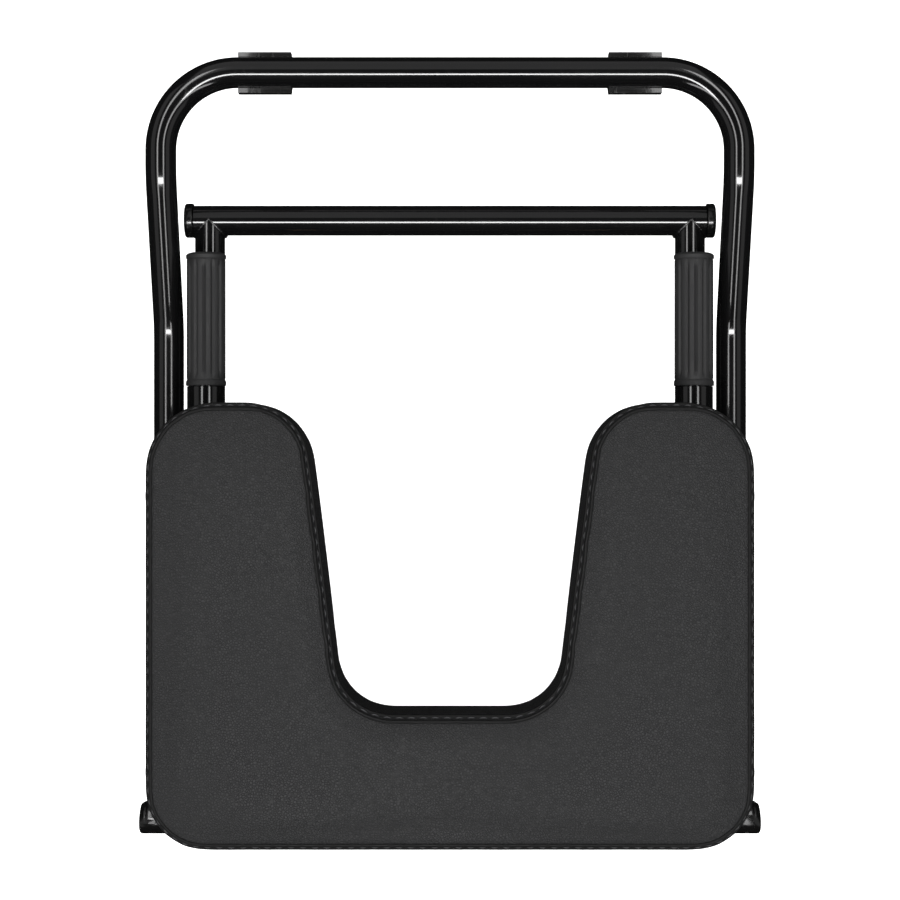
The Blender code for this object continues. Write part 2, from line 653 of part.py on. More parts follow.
def rounded_outline(corners, steps=7):
    """Points and outward normals of a closed polygon whose corners (x, y, radius) are arcs."""
    outline = []
    for here, (x, y, radius) in enumerate(corners):
        corner = Vector((x, y))
        before = (Vector(corners[here - 1][:2]) - corner).normalized()
        after = (Vector(corners[(here + 1) % len(corners)][:2]) - corner).normalized()
        half = before.angle(after) / 2
        middle = (before + after).normalized()
        centre = corner + middle * (radius / math.sin(half))
        left_turn = before.x * after.y - before.y * after.x < 0
        outward = 1.0 if left_turn else -1.0
        sweep = (math.pi - 2 * half) * outward
        start = corner + before * (radius / math.tan(half)) - centre
        for step in range(steps + 1):
            turn = Matrix.Rotation(sweep * step / steps, 2)
            arm = turn @ start
            outline.append((centre + arm, arm.normalized() * outward))
    return outline


def pad_outline():
    """The U seen from above, anticlockwise, as points and outward normals."""
    front = PAD_BACK + PAD_LENGTH
    neck = front - NECK_DEPTH
    right = [(PAD_HALF, PAD_BACK, PAD_BACK_R), (PAD_HALF, front, PAD_FRONT_R)]
    right += [(MOUTH_HALF, front, PAD_MOUTH_R), (NECK_HALF, neck, PAD_NECK_R)]
    left = [(-x, y, radius) for x, y, radius in reversed(right)]
    return rounded_outline(right + left)


def pad_ring(outline, inset, z):
    return [Vector((*(point - normal * inset), z)) for point, normal in outline]


def pad_wall(outline, inset, low, high, edge):
    """Rings up the pad's wall and round its upper edge."""
    rings = [pad_ring(outline, inset, low)]
    for step in range(4):
        angle = math.pi / 2 * step / 3
        tuck = inset + edge * (1 - math.cos(angle))
        rings.append(pad_ring(outline, tuck, high - edge + edge * math.sin(angle)))
    return rings


def build_pad(bench):
    outline = pad_outline()
    inside = COVER_T + FIT
    board_top = BOARD_Z + BOARD_T
    rings = [pad_ring(outline, inside, BOARD_Z), pad_ring(outline, inside, board_top)]
    board = bench.add("seat_board", "seat", "plywood", rings)

    foam_edge = PAD_EDGE_R - inside
    rings = pad_wall(outline, inside, board_top + FIT, PAD_TOP - inside, foam_edge)
    bench.add("pad_foam", "seat", "foam", rings)

    skin_out = pad_wall(outline, 0.0, BOARD_Z, PAD_TOP, PAD_EDGE_R)
    skin_in = pad_wall(outline, COVER_T, BOARD_Z, PAD_TOP - COVER_T, PAD_EDGE_R - COVER_T)
    bench.add("pad_cover", "seat", "vinyl", list(reversed(skin_in)) + skin_out)

    seat_height = RAIL_Z + math.sqrt((RAIL_R - RAIL_WALL) ** 2 - SCREW_HEAD_R ** 2) - FIT
    number = 0
    for _side, sign in SIDES:
        for reach in SCREW_REACHES:
            number += 1
            place = Vector((sign * RAIL_X, HINGE_Y + reach, 0.0))
            frame = frame_at(place, (0, 0, 1))
            low = frame_at(place + Vector((0, 0, BOARD_Z - 0.001)), (0, 0, 1))
            bench.drill(board, low, BOARD_T + 0.002, SCREW_R + FIT)
            screw = [(seat_height - SCREW_HEAD_T, 0.7 * SCREW_HEAD_R)]
            screw += [(seat_height - 0.6 * SCREW_HEAD_T, SCREW_HEAD_R)]
            screw += [(seat_height, SCREW_HEAD_R), (seat_height, SCREW_R)]
            screw += [(board_top - 0.002, SCREW_R)]
            bench.add(f"board_screw_{number}", "seat", "zinc", turned(frame, screw, 12))


def main():
    clear_scene()
    bench = Bench()
    build_front_leg(bench)
    build_rear_leg(bench)
    build_pivots(bench)
    build_seat_frame(bench)
    for side, sign in SIDES:
        build_lock(bench, side, sign)
    build_pad(bench)


main()
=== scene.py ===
"""Looks of the fold-flat headstand bench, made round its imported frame.

Each operator makes one group of pieces and rides it on the body that carries it. Sizes are in
metres, in the frame's own axes: +X right, +Y front, +Z up.
"""

import bmesh
import bpy
import numpy as np
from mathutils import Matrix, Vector
from mathutils.bvhtree import BVHTree


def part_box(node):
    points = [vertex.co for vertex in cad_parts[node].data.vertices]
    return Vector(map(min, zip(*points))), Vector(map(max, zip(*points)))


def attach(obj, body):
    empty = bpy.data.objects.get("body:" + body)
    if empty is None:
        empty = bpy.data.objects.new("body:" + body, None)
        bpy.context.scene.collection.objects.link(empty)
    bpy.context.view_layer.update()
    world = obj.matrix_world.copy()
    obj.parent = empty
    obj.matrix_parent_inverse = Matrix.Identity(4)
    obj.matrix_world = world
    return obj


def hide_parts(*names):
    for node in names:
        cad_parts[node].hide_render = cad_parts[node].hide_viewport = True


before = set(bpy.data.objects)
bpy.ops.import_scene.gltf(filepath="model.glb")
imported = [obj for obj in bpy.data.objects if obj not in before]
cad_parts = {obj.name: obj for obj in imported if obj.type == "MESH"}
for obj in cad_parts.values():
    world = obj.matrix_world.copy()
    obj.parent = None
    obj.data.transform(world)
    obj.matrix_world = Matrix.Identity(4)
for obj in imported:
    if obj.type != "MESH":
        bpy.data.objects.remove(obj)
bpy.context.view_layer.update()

bl_info = {
    "name": "Headstand bench looks",
    "version": (1, 0, 0),
    "blender": (4, 5, 0),
    "location": "3D View > Sidebar > Bench",
    "description": "Makes the pad, frame, grips and fittings of a fold-flat headstand bench",
    "category": "Object",
}

TURN = 2 * np.pi
SIDES = (("left", -1.0), ("right", 1.0))
SHARP = np.radians(32)
BOLT_BORE = 0.0043           # radius of the holes in nuts, spacers and washers
FIT_GAP = 0.0003             # between a handle tube and the rail that it goes into


# ---- Places read from the frame ----


def corners(node):
    low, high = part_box(node)
    return np.array(low), np.array(high)


def middle(node):
    low, high = corners(node)
    return (low + high) / 2


def size_of(node):
    low, high = corners(node)
    return high - low


LEG_R = float(size_of("rear_crossbar")[2] / 2)
RAIL_R = float(size_of("seat_rail_right")[2] / 2)
WALL = 0.0015
LEG_Z = float(middle("rear_crossbar")[2])
RAIL_Z = float(middle("seat_rail_right")[2])
RAIL_X = float(middle("seat_rail_right")[0])
FRONT_X = float(corners("front_leg_tube")[1][0] - LEG_R)
FLOOR_Z = -0.26             # low enough for the legs when the bench is opened in place
HINGE_Y = float(middle("hinge_washer_right")[1])
PIVOT_Y = float(middle("pivot_spacer_right")[1])
CROSSBAR_Y = float(middle("rear_crossbar")[1])
REAR_BAR_Y = float(middle("rear_foot_bar")[1])
PAD_LOW, PAD_HIGH = corners("pad_cover")
BEND_ANGLE = np.radians(23)
BEND_R = 0.050
LOOP_R = 0.050
JOG_REACH = 0.1737
BAR_Y = float(middle("front_foot_left")[1])
BAR_Z = float(corners("front_leg_tube")[1][2] - LEG_R)


# ---- Sizes and colours that a user may change ----


def length(name, default, description):
    return bpy.props.FloatProperty(
        name=name, default=default, min=0.0, subtype="DISTANCE", unit="LENGTH",
        precision=5, description=description)


def colour(name, default, description):
    return bpy.props.FloatVectorProperty(
        name=name, default=default, size=3, min=0.0, max=1.0, subtype="COLOR",
        description=description)


class BenchSizes(bpy.types.PropertyGroup):
    back_radius: length("Back corner", 0.038, "Radius of the pad's back corners")
    front_radius: length("Front corner", 0.043, "Outer radius at the front of the pad's arms")
    mouth_radius: length("Mouth corner", 0.039, "Inner radius at the front of the pad's arms")
    neck_radius: length("Neck corner", 0.036, "Radius of the opening's closed end")
    neck_half: length("Neck half width", 0.0685, "Half width of the opening's closed end")
    mouth_half: length("Mouth half width", 0.0933, "Half width of the opening's mouth")
    neck_depth: length("Neck depth", 0.1961, "Depth of the opening")
    shoulder: length("Shoulder", 0.0036, "Roundness of the pad's upper edge")
    seam_drop: length("Seam drop", 0.0042, "From the pad's top down to its seam")
    crown: length("Crown", 0.0030, "How far the foam may swell the cover")
    voxel: length("Cloth cell", 0.0040, "Cell size of the cloth that is blown up")
    pressure: bpy.props.FloatProperty(
        name="Cloth pressure", default=4.0, min=0.0, description="Pressure inside the pad")
    welt_radius: length("Welt", 0.0012, "Radius of the cords sewn into the seam")
    band: length("Seam band", 0.0040, "Width of the sewn band between the two cords")
    stitch_pitch: length("Stitch pitch", 0.0075, "From one stitch to the next")
    stitch_radius: length("Thread", 0.00045, "Radius of the sewing thread")
    hem_width: length("Hem", 0.021, "Cover turned under the board")
    staple_pitch: length("Staple pitch", 0.028, "From one staple to the next")
    bead_radius: length("Weld bead", 0.0017, "Radius of the weld beads")
    flute_depth: length("Flute depth", 0.0013, "Depth of the grips' lengthwise flutes")
    flutes: bpy.props.IntProperty(
        name="Flutes", default=14, min=4, description="Lengthwise flutes round each grip")


class BenchColours(bpy.types.PropertyGroup):
    paint: colour("Frame paint", (0.0035, 0.0035, 0.0037), "Black powder coat")
    vinyl: colour("Cover", (0.0170, 0.0170, 0.0176), "Artificial leather")
    # Cords far darker than the cover: a real welt, and also painted shade along the pad's rounded
    # upper edge.
    cord: colour("Cords", (0.004, 0.004, 0.004), "Cords along the seam")
    thread: colour("Thread", (0.05, 0.05, 0.052), "Sewing thread")
    grip: colour("Grips", (0.0145, 0.0145, 0.0149), "Grip rubber")
    rubber: colour("Feet", (0.004, 0.004, 0.004), "Foot rubber")
    plug: colour("Plugs", (0.010, 0.010, 0.010), "Moulded plugs and knobs")
    zinc: colour("Fasteners", (0.56, 0.56, 0.54), "Zinc plating")
    nylon: colour("Washers", (0.66, 0.65, 0.60), "Nylon")
    board: colour("Board", (0.50, 0.34, 0.19), "Plywood")
    floor: colour("Floor", (0.90, 0.90, 0.90), "Studio floor")


def sizes():
    return bpy.context.scene.bench_sizes


def colours():
    return bpy.context.scene.bench_colours


# ---- Surfaces from arrays ----


def smoothstep(value):
    value = np.clip(value, 0.0, 1.0)
    return value * value * (3.0 - 2.0 * value)


def unit(vectors):
    return vectors / np.linalg.norm(vectors, axis=-1, keepdims=True)


def grid_faces(rows, columns, along):
    """Quads of a grid whose columns close round; along closes its rows too."""
    row = np.arange(rows if along else rows - 1)[:, None]
    column = np.arange(columns)[None, :]
    after = (column + 1) % columns
    above = (row + 1) % rows
    quads = np.stack(np.broadcast_arrays(
        row * columns + column, row * columns + after,
        above * columns + after, above * columns + column), axis=-1)
    return quads.reshape(-1, 4)


def shell_piece(mesh, shell):
    """An object from an edited mesh: faces point out, edges over 32 degrees stay sharp."""
    bmesh.ops.recalc_face_normals(shell, faces=shell.faces)
    shell.to_mesh(mesh)
    shell.free()
    mesh.shade_smooth()
    mesh.set_sharp_from_angle(angle=SHARP)
    piece = bpy.data.objects.new(mesh.name, mesh)
    bpy.context.scene.collection.objects.link(piece)
    return piece


def build_mesh(name, points, faces):
    mesh = bpy.data.meshes.new(name)
    mesh.from_pydata(points.reshape(-1, 3).tolist(), [], faces)
    shell = bmesh.new()
    shell.from_mesh(mesh)
    return shell_piece(mesh, shell)


def grid_piece(name, points, along=False):
    """A surface through a grid (rows, columns, 3). Its columns close; open rows are capped."""
    rows, columns = points.shape[:2]
    faces = grid_faces(rows, columns, along).tolist()
    if not along:
        faces.append(list(range(columns))[::-1])
        faces.append(list(range((rows - 1) * columns, rows * columns)))
    return build_mesh(name, points, faces)


def many_grids(name, points):
    """Separate capped copies in one mesh, from an array (copies, rows, columns, 3)."""
    copies, rows, columns = points.shape[:3]
    quads = grid_faces(rows, columns, False)
    step = rows * columns
    starts = np.arange(copies) * step
    faces = (quads[None] + starts[:, None, None]).reshape(-1, 4).tolist()
    first = np.arange(columns)[::-1]
    last = np.arange(step - columns, step)
    faces += (first[None] + starts[:, None]).tolist()
    faces += (last[None] + starts[:, None]).tolist()
    return build_mesh(name, points, faces)


def angles(count):
    return np.arange(count) * TURN / count


def turned(origin, direction, stations, count=64):
    """A turned grid: at each height h the point is origin + h d + r(a) (cos a u + sin a v)."""
    ahead = unit(np.array(direction, float))
    helper = np.array((0.0, 0.0, 1.0)) if abs(ahead[2]) < 0.9 else np.array((0.0, 1.0, 0.0))
    across = unit(np.cross(helper, ahead))
    up = np.cross(ahead, across)
    angle = angles(count)
    round_part = np.cos(angle)[:, None] * across + np.sin(angle)[:, None] * up
    heights = np.array([height for height, _radius in stations])
    radii = np.array([np.broadcast_to(radius, angle.shape) for _height, radius in stations])
    return (np.array(origin, float) + heights[:, None, None] * ahead
            + radii[..., None] * round_part)


def rings_round(path, ahead, normals, radius, count):
    """Rings round a path: path + r(s, a) (cos a n + sin a (t x n)), t along the path."""
    side = unit(normals - ahead * np.sum(normals * ahead, axis=1, keepdims=True))
    across = np.cross(ahead, side)
    angle = angles(count)
    ring = (np.cos(angle)[None, :, None] * side[:, None]
            + np.sin(angle)[None, :, None] * across[:, None])
    spread = np.broadcast_to(radius, (len(path), count))
    return path[:, None] + spread[..., None] * ring


def swept(path, normals, radius, count=40):
    """Rings round an open path."""
    return rings_round(path, unit(np.gradient(path, axis=0)), normals, radius, count)


def closed_sweep(path, normals, radius, count=10):
    """Rings round a path whose end meets its start."""
    ahead = unit(np.roll(path, -1, axis=0) - np.roll(path, 1, axis=0))
    return rings_round(path, ahead, normals, radius, count)


def tube_piece(name, start, end, outer, inner):
    """A straight open tube between two points, with slightly eased ends."""
    start, end = np.array(start, float), np.array(end, float)
    span = float(np.linalg.norm(end - start))
    ease = 0.0003
    stations = [(ease, outer), (span - ease, outer), (span, outer - ease), (span, inner),
                (0.0, inner), (0.0, outer - ease)]
    return grid_piece(name, turned(start, end - start, stations), along=True)


def node_tube(name, node, axis, centre, outer, inner):
    """An open tube as long as a node, along one axis through a centre."""
    start, end = np.array(centre, float), np.array(centre, float)
    start[axis], end[axis] = (corner[axis] for corner in corners(node))
    return tube_piece(name, start, end, outer, inner)


def softened(node, width, segments=2):
    """A copy of a CAD node with its triangles merged and its edges rounded."""
    shell = bmesh.new()
    shell.from_mesh(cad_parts[node].data)
    bmesh.ops.remove_doubles(shell, verts=shell.verts, dist=1e-6)
    bmesh.ops.dissolve_limit(
        shell, angle_limit=np.radians(0.5), verts=shell.verts, edges=shell.edges)
    sharp = [edge for edge in shell.edges
             if edge.is_manifold and edge.calc_face_angle(0.0) > SHARP]
    bmesh.ops.bevel(shell, geom=sharp, offset=width, offset_type="OFFSET", segments=segments,
                    profile=0.5, affect="EDGES", clamp_overlap=True)
    return shell_piece(bpy.data.meshes.new(node + "_finished"), shell)


def place(piece, body, finish, *nodes):
    """Give a piece its finish, ride it on a body and let it stand for CAD nodes."""
    piece.data.materials.clear()
    piece.data.materials.append(bpy.data.materials[finish + "_finish"])
    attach(piece, body)
    if nodes:
        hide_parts(*nodes)
    return piece


def soften_pair(kind, body, finish, width, segments=2):
    """Softened copies of a left and a right node; {} in the body's name is the side."""
    for side, _sign in SIDES:
        node = kind + side
        place(softened(node, width, segments), body.format(side), finish, node)


# ---- Shader groups and finishes ----


class Nodes:
    """Short hand for adding and joining nodes in a tree."""

    def __init__(self, tree):
        self.tree = tree

    def add(self, kind, **values):
        node = self.tree.nodes.new(kind)
        for name, value in values.items():
            setattr(node, name, value)
        return node

    def join(self, source, target):
        self.tree.links.new(source, target)

    def noise(self, place, scale, detail=2.0):
        node = self.add("ShaderNodeTexNoise")
        node.inputs["Scale"].default_value = scale
        node.inputs["Detail"].default_value = detail
        self.join(place, node.inputs["Vector"])
        return node.outputs

    def ramp(self, value, low, high, **settings):
        node = self.add("ShaderNodeMapRange", **settings)
        node.inputs["From Min"].default_value = low
        node.inputs["From Max"].default_value = high
        self.join(value, node.inputs["Value"])
        return node

    def math(self, operation, first, second=None):
        node = self.add("ShaderNodeMath", operation=operation)
        for socket, value in zip(node.inputs, (first, second)):
            if value is None:
                continue
            if isinstance(value, (int, float)):
                socket.default_value = value
            else:
                self.join(value, socket)
        return node.outputs[0]


def new_group(name, inputs, outputs):
    group = bpy.data.node_groups.new(name, "ShaderNodeTree")
    for label, kind, default in inputs:
        socket = group.interface.new_socket(label, in_out="INPUT", socket_type=kind)
        if default is not None:
            socket.default_value = default
    for label, kind in outputs:
        group.interface.new_socket(label, in_out="OUTPUT", socket_type=kind)
    nodes = Nodes(group)
    return group, nodes, nodes.add("NodeGroupInput"), nodes.add("NodeGroupOutput")


FLOAT, VECTOR, COLOUR = "NodeSocketFloat", "NodeSocketVector", "NodeSocketColor"


def make_mottle_group():
    """Slow cloudy variation: a value between Low and High, and a tinted colour."""
    group, nodes, given, made = new_group(
        "Mottle",
        [("Place", VECTOR, None), ("Scale", FLOAT, 20.0), ("Low", FLOAT, 0.4),
         ("High", FLOAT, 0.6), ("Dark", COLOUR, (0, 0, 0, 1)), ("Light", COLOUR, (1, 1, 1, 1))],
        [("Value", FLOAT), ("Colour", COLOUR)])
    noise = nodes.add("ShaderNodeTexNoise")
    noise.inputs["Detail"].default_value = 5.0
    nodes.join(given.outputs["Place"], noise.inputs["Vector"])
    nodes.join(given.outputs["Scale"], noise.inputs["Scale"])
    spread = nodes.ramp(noise.outputs["Fac"], 0.3, 0.7)
    nodes.join(given.outputs["Low"], spread.inputs["To Min"])
    nodes.join(given.outputs["High"], spread.inputs["To Max"])
    nodes.join(spread.outputs["Result"], made.inputs["Value"])
    mix = nodes.add("ShaderNodeMix", data_type="RGBA")
    nodes.join(noise.outputs["Fac"], mix.inputs[0])
    nodes.join(given.outputs["Dark"], mix.inputs[6])
    nodes.join(given.outputs["Light"], mix.inputs[7])
    nodes.join(mix.outputs[2], made.inputs["Colour"])
    return group


def make_pebble_group():
    """Pebble grain: rounded cells with creases between them, broken up by fine noise."""
    group, nodes, given, made = new_group(
        "Pebble grain",
        [("Place", VECTOR, None), ("Cells per metre", FLOAT, 800.0), ("Roughen", FLOAT, 0.25)],
        [("Height", FLOAT), ("Crease", FLOAT)])
    warp = nodes.noise(given.outputs["Place"], 260.0)
    shift = nodes.add("ShaderNodeVectorMath", operation="MULTIPLY_ADD")
    shift.inputs[1].default_value = (0.0011, 0.0011, 0.0011)
    nodes.join(warp["Color"], shift.inputs[0])
    nodes.join(given.outputs["Place"], shift.inputs[2])
    cells = nodes.add("ShaderNodeTexVoronoi", feature="DISTANCE_TO_EDGE")
    nodes.join(shift.outputs[0], cells.inputs["Vector"])
    nodes.join(given.outputs["Cells per metre"], cells.inputs["Scale"])
    crease = nodes.ramp(cells.outputs["Distance"], 0.0, 0.22, interpolation_type="SMOOTHSTEP")
    fine = nodes.noise(given.outputs["Place"], 2600.0)
    rough = nodes.math("MULTIPLY", fine["Fac"], given.outputs["Roughen"])
    height = nodes.math("ADD", crease.outputs["Result"], rough)
    nodes.join(height, made.inputs["Height"])
    # The Crease output marks the grain's creases; the cover darkens its colour there as painted
    # shade.
    nodes.join(nodes.math("SUBTRACT", 1.0, crease.outputs["Result"]), made.inputs["Crease"])
    return group


def make_scuff_group():
    """Faint handling marks: a thin-lined mask from stretched noise, and fine dust specks."""
    group, nodes, given, made = new_group(
        "Scuff",
        [("Place", VECTOR, None), ("Amount", FLOAT, 0.5)],
        [("Marks", FLOAT), ("Specks", FLOAT)])
    stretch = nodes.add("ShaderNodeVectorMath", operation="MULTIPLY")
    stretch.inputs[1].default_value = (38.0, 6.0, 38.0)
    nodes.join(given.outputs["Place"], stretch.inputs[0])
    lines = nodes.noise(stretch.outputs[0], 9.0, 8.0)
    dots = nodes.noise(given.outputs["Place"], 900.0)
    for mask, low, high, label in ((lines, 0.62, 0.74, "Marks"), (dots, 0.70, 0.78, "Specks")):
        ramp = nodes.ramp(mask["Fac"], low, high)
        nodes.join(nodes.math("MULTIPLY", ramp.outputs["Result"], given.outputs["Amount"]),
                   made.inputs[label])
    return group


class Finish:
    """One material: a Principled shader, its place on the object and shared groups."""

    def __init__(self, name, **constants):
        self.material = bpy.data.materials.new(name + "_finish")
        self.material.use_nodes = True
        self.nodes = Nodes(self.material.node_tree)
        self.shader = self.material.node_tree.nodes["Principled BSDF"]
        self.place = self.nodes.add("ShaderNodeTexCoord").outputs["Object"]
        for label, value in constants.items():
            self.shader.inputs[label.replace("_", " ")].default_value = value

    def group(self, name, **values):
        node = self.nodes.add("ShaderNodeGroup")
        node.node_tree = bpy.data.node_groups[name]
        self.nodes.join(self.place, node.inputs["Place"])
        for label, value in values.items():
            node.inputs[label.replace("_", " ")].default_value = value
        return node

    def mottled(self, base, spread, scale, low, high):
        """Base colour and roughness that drift slowly over the surface."""
        dark = (*[part * (1 - spread) for part in base], 1.0)
        light = (*[part * (1 + spread) for part in base], 1.0)
        node = self.group("Mottle", Scale=scale, Low=low, High=high, Dark=dark, Light=light)
        self.nodes.join(node.outputs["Colour"], self.shader.inputs["Base Color"])
        self.nodes.join(node.outputs["Value"], self.shader.inputs["Roughness"])
        return node

    def scuffed(self, tone, amount):
        """Handling marks that add to a drifting roughness."""
        marks = self.group("Scuff", Amount=amount).outputs["Marks"]
        worn = self.nodes.math("ADD", tone.outputs["Value"], marks)
        self.nodes.join(worn, self.shader.inputs["Roughness"])

    def tinted(self, tone, factor, tint):
        """The drifting colour times a tint, as strongly as the factor says."""
        mix = self.nodes.add("ShaderNodeMix", data_type="RGBA", blend_type="MULTIPLY")
        self.nodes.join(factor, mix.inputs[0])
        self.nodes.join(tone.outputs["Colour"], mix.inputs[6])
        mix.inputs[7].default_value = (*tint, 1.0)
        self.nodes.join(mix.outputs[2], self.shader.inputs["Base Color"])

    def noise(self, scale, detail):
        return self.nodes.noise(self.place, scale, detail)["Fac"]

    def bump(self, height, distance, strength=1.0):
        node = self.nodes.add("ShaderNodeBump")
        node.inputs["Distance"].default_value = distance
        node.inputs["Strength"].default_value = strength
        self.nodes.join(height, node.inputs["Height"])
        self.nodes.join(node.outputs["Normal"], self.shader.inputs["Normal"])


def make_powder_coat():
    """Glossy black powder coat: slight orange peel and faint marks."""
    finish = Finish("powder_coat", Coat_Weight=0.6, Coat_Roughness=0.04, IOR=1.5)
    tone = finish.mottled(colours().paint, 0.15, 9.0, 0.10, 0.16)
    finish.scuffed(tone, 0.10)
    finish.bump(finish.noise(300.0, 1.0), 0.00001, 0.3)


def make_vinyl():
    """Dark artificial leather: pebble grain, painted shade darkening its creases, a soft sheen."""
    finish = Finish("cover_vinyl", IOR=1.45, Specular_IOR_Level=0.28)
    tone = finish.mottled(colours().vinyl, 0.16, 7.0, 0.46, 0.60)
    grain = finish.group("Pebble grain", Cells_per_metre=620.0, Roughen=0.22)
    # Painted shade: the grain's creases darken the cover's colour, as shade would fall in them.
    crease = finish.nodes.math("MULTIPLY", grain.outputs["Crease"], 0.40)
    finish.tinted(tone, crease, (0.25, 0.25, 0.25))
    finish.bump(grain.outputs["Height"], 0.00022, 0.9)


def make_thread():
    """Twisted sewing thread: fine slanting ridges."""
    finish = Finish("thread", IOR=1.45)
    finish.mottled(colours().thread, 0.3, 300.0, 0.55, 0.75)
    wave = finish.nodes.add("ShaderNodeTexWave", wave_type="BANDS", bands_direction="DIAGONAL")
    wave.inputs["Scale"].default_value = 900.0
    finish.nodes.join(finish.place, wave.inputs["Vector"])
    finish.bump(wave.outputs["Fac"], 0.0001)


def make_foot_rubber():
    """Glossy moulded rubber with a fine cast texture."""
    finish = Finish("foot_rubber", IOR=1.5, Coat_Weight=0.5, Coat_Roughness=0.08)
    tone = finish.mottled(colours().rubber, 0.25, 40.0, 0.16, 0.26)
    finish.scuffed(tone, 0.5)
    finish.bump(finish.noise(1300.0, 4.0), 0.00006, 0.5)


# Name, colour, shader inputs, drift (spread, scale, low, high), grain (scale, detail, depth,
# strength).
PLAIN_FINISHES = (
    # The cords' near-black colour is partly the welt's own and partly painted shade along the
    # pad's edge.
    ("seam_cord", "cord", {"IOR": 1.45, "Specular_IOR_Level": 0.25},
     (0.3, 200.0, 0.50, 0.70), (1800.0, 4.0, 0.00005, 0.5)),
    ("grip_rubber", "grip", {"IOR": 1.45},
     (0.22, 60.0, 0.60, 0.76), (1900.0, 6.0, 0.00012, 0.6)),
    ("plug_plastic", "plug", {"IOR": 1.5},
     (0.2, 50.0, 0.38, 0.52), (2100.0, 3.0, 0.00005, 0.5)),
    ("zinc_plate", "zinc", {"Metallic": 1.0},
     (0.18, 120.0, 0.24, 0.42), (1500.0, 6.0, 0.00002, 0.4)),
    ("nylon", "nylon", {"IOR": 1.52, "Subsurface_Weight": 0.05},
     (0.08, 90.0, 0.40, 0.55), (800.0, 3.0, 0.00003, 0.3)),
)


def make_plain_finishes():
    """Cord, grip rubber, plastic, zinc and nylon: a drifting tone and a fine grain."""
    for name, tone, inputs, drift, (scale, detail, depth, strength) in PLAIN_FINISHES:
        finish = Finish(name, **inputs)
        finish.mottled(getattr(colours(), tone), *drift)
        finish.bump(finish.noise(scale, detail), depth, strength)


def make_plywood():
    """Plywood: long grain across the board and thin plies at its edge."""
    finish = Finish("plywood", IOR=1.45)
    tone = finish.mottled(colours().board, 0.2, 14.0, 0.60, 0.78)
    stretch = finish.nodes.add("ShaderNodeMapping")
    stretch.inputs["Scale"].default_value = (6.0, 110.0, 420.0)
    finish.nodes.join(finish.place, stretch.inputs["Vector"])
    grain = finish.nodes.noise(stretch.outputs[0], 1.6, 6.0)["Fac"]
    finish.tinted(tone, grain, (0.55, 0.42, 0.32))
    finish.bump(grain, 0.0002, 0.5)


# ---- The pad ----


def pad_corners():
    """Corners (x, y, radius) of the U seen from above, anticlockwise."""
    s = sizes()
    back, front, half = PAD_LOW[1], PAD_HIGH[1], PAD_HIGH[0]
    right = [(half, back, s.back_radius), (half, front, s.front_radius),
             (s.mouth_half, front, s.mouth_radius),
             (s.neck_half, front - s.neck_depth, s.neck_radius)]
    left = [(-x, y, radius) for x, y, radius in reversed(right)]
    return right + left


def pad_outline(count):
    """Evenly spaced points, outward normals and lengths round the U with its round corners."""
    shape = pad_corners()
    turns = np.linspace(0.0, 1.0, 33)
    runs = []
    for here, (x, y, radius) in enumerate(shape):
        corner = np.array((x, y))
        before = unit(np.array(shape[here - 1][:2]) - corner)
        after = unit(np.array(shape[(here + 1) % len(shape)][:2]) - corner)
        half = np.arccos(np.clip(before @ after, -1, 1)) / 2
        centre = corner + unit(before + after) * radius / np.sin(half)
        start = corner + before * radius / np.tan(half) - centre
        end = corner + after * radius / np.tan(half) - centre
        first = np.arctan2(start[1], start[0])
        sweep = np.angle(np.exp(1j * (np.arctan2(end[1], end[0]) - first)))
        angle = first + sweep * turns
        runs.append(centre + radius * np.stack((np.cos(angle), np.sin(angle)), axis=-1))
    dense = np.concatenate(runs)
    closed = np.concatenate((dense, dense[:1]))
    reach = np.concatenate(([0.0], np.cumsum(np.linalg.norm(np.diff(closed, axis=0), axis=1))))
    want = np.arange(count) * reach[-1] / count
    points = np.stack([np.interp(want, reach, closed[:, axis]) for axis in (0, 1)], axis=-1)
    ahead = unit(np.roll(points, -1, axis=0) - np.roll(points, 1, axis=0))
    normals = np.stack((ahead[:, 1], -ahead[:, 0]), axis=-1)
    return points, normals, want, float(reach[-1])


def pad_rings(count, profile):
    """Rings of the U at each (inset, z) of a profile."""
    points, normals, _reach, _whole = pad_outline(count)
    rings = []
    for inset, z in profile:
        flat = points - normals * inset
        rings.append(np.column_stack((flat, np.full(count, z))))
    return np.array(rings)


def seam_height():
    return PAD_HIGH[2] - sizes().seam_drop - 0.5 * sizes().crown


def pad_profile():
    """(inset, z) up the wall, over the seam and round the shoulder."""
    s = sizes()
    top = PAD_HIGH[2] - s.crown
    seam = seam_height()
    angle = np.linspace(0.0, np.pi / 2, 7)
    wall = [(0.0012, PAD_LOW[2]), (0.0002, PAD_LOW[2] + 0.004), (0.0002, seam - 0.004)]
    shoulder = [(s.shoulder * (1 - np.cos(a)) + 0.0004, seam + (top - seam) * np.sin(a))
                for a in angle]
    return wall + shoulder


def blow_up(piece):
    """Remesh the pad, blow it up as cloth, and return where its points were before."""
    s = sizes()
    remesh = piece.modifiers.new("remesh", "REMESH")
    remesh.mode = "VOXEL"
    remesh.voxel_size = s.voxel
    apply_modifiers(piece)
    rest = read_points(piece)
    cloth = piece.modifiers.new("cloth", "CLOTH")
    cloth.settings.use_pressure = True
    cloth.settings.uniform_pressure_force = s.pressure
    cloth.settings.effector_weights.gravity = 0.0
    cloth.settings.tension_stiffness = 20.0
    cloth.settings.compression_stiffness = 20.0
    scene = bpy.context.scene
    for number in range(1, 21):
        scene.frame_set(number)
    apply_modifiers(piece)
    scene.frame_set(1)
    return rest


def apply_modifiers(piece):
    depsgraph = bpy.context.evaluated_depsgraph_get()
    mesh = bpy.data.meshes.new_from_object(piece.evaluated_get(depsgraph))
    piece.modifiers.clear()
    piece.data = mesh


def read_points(piece):
    points = np.empty(len(piece.data.vertices) * 3)
    piece.data.vertices.foreach_get("co", points)
    return points.reshape(-1, 3)


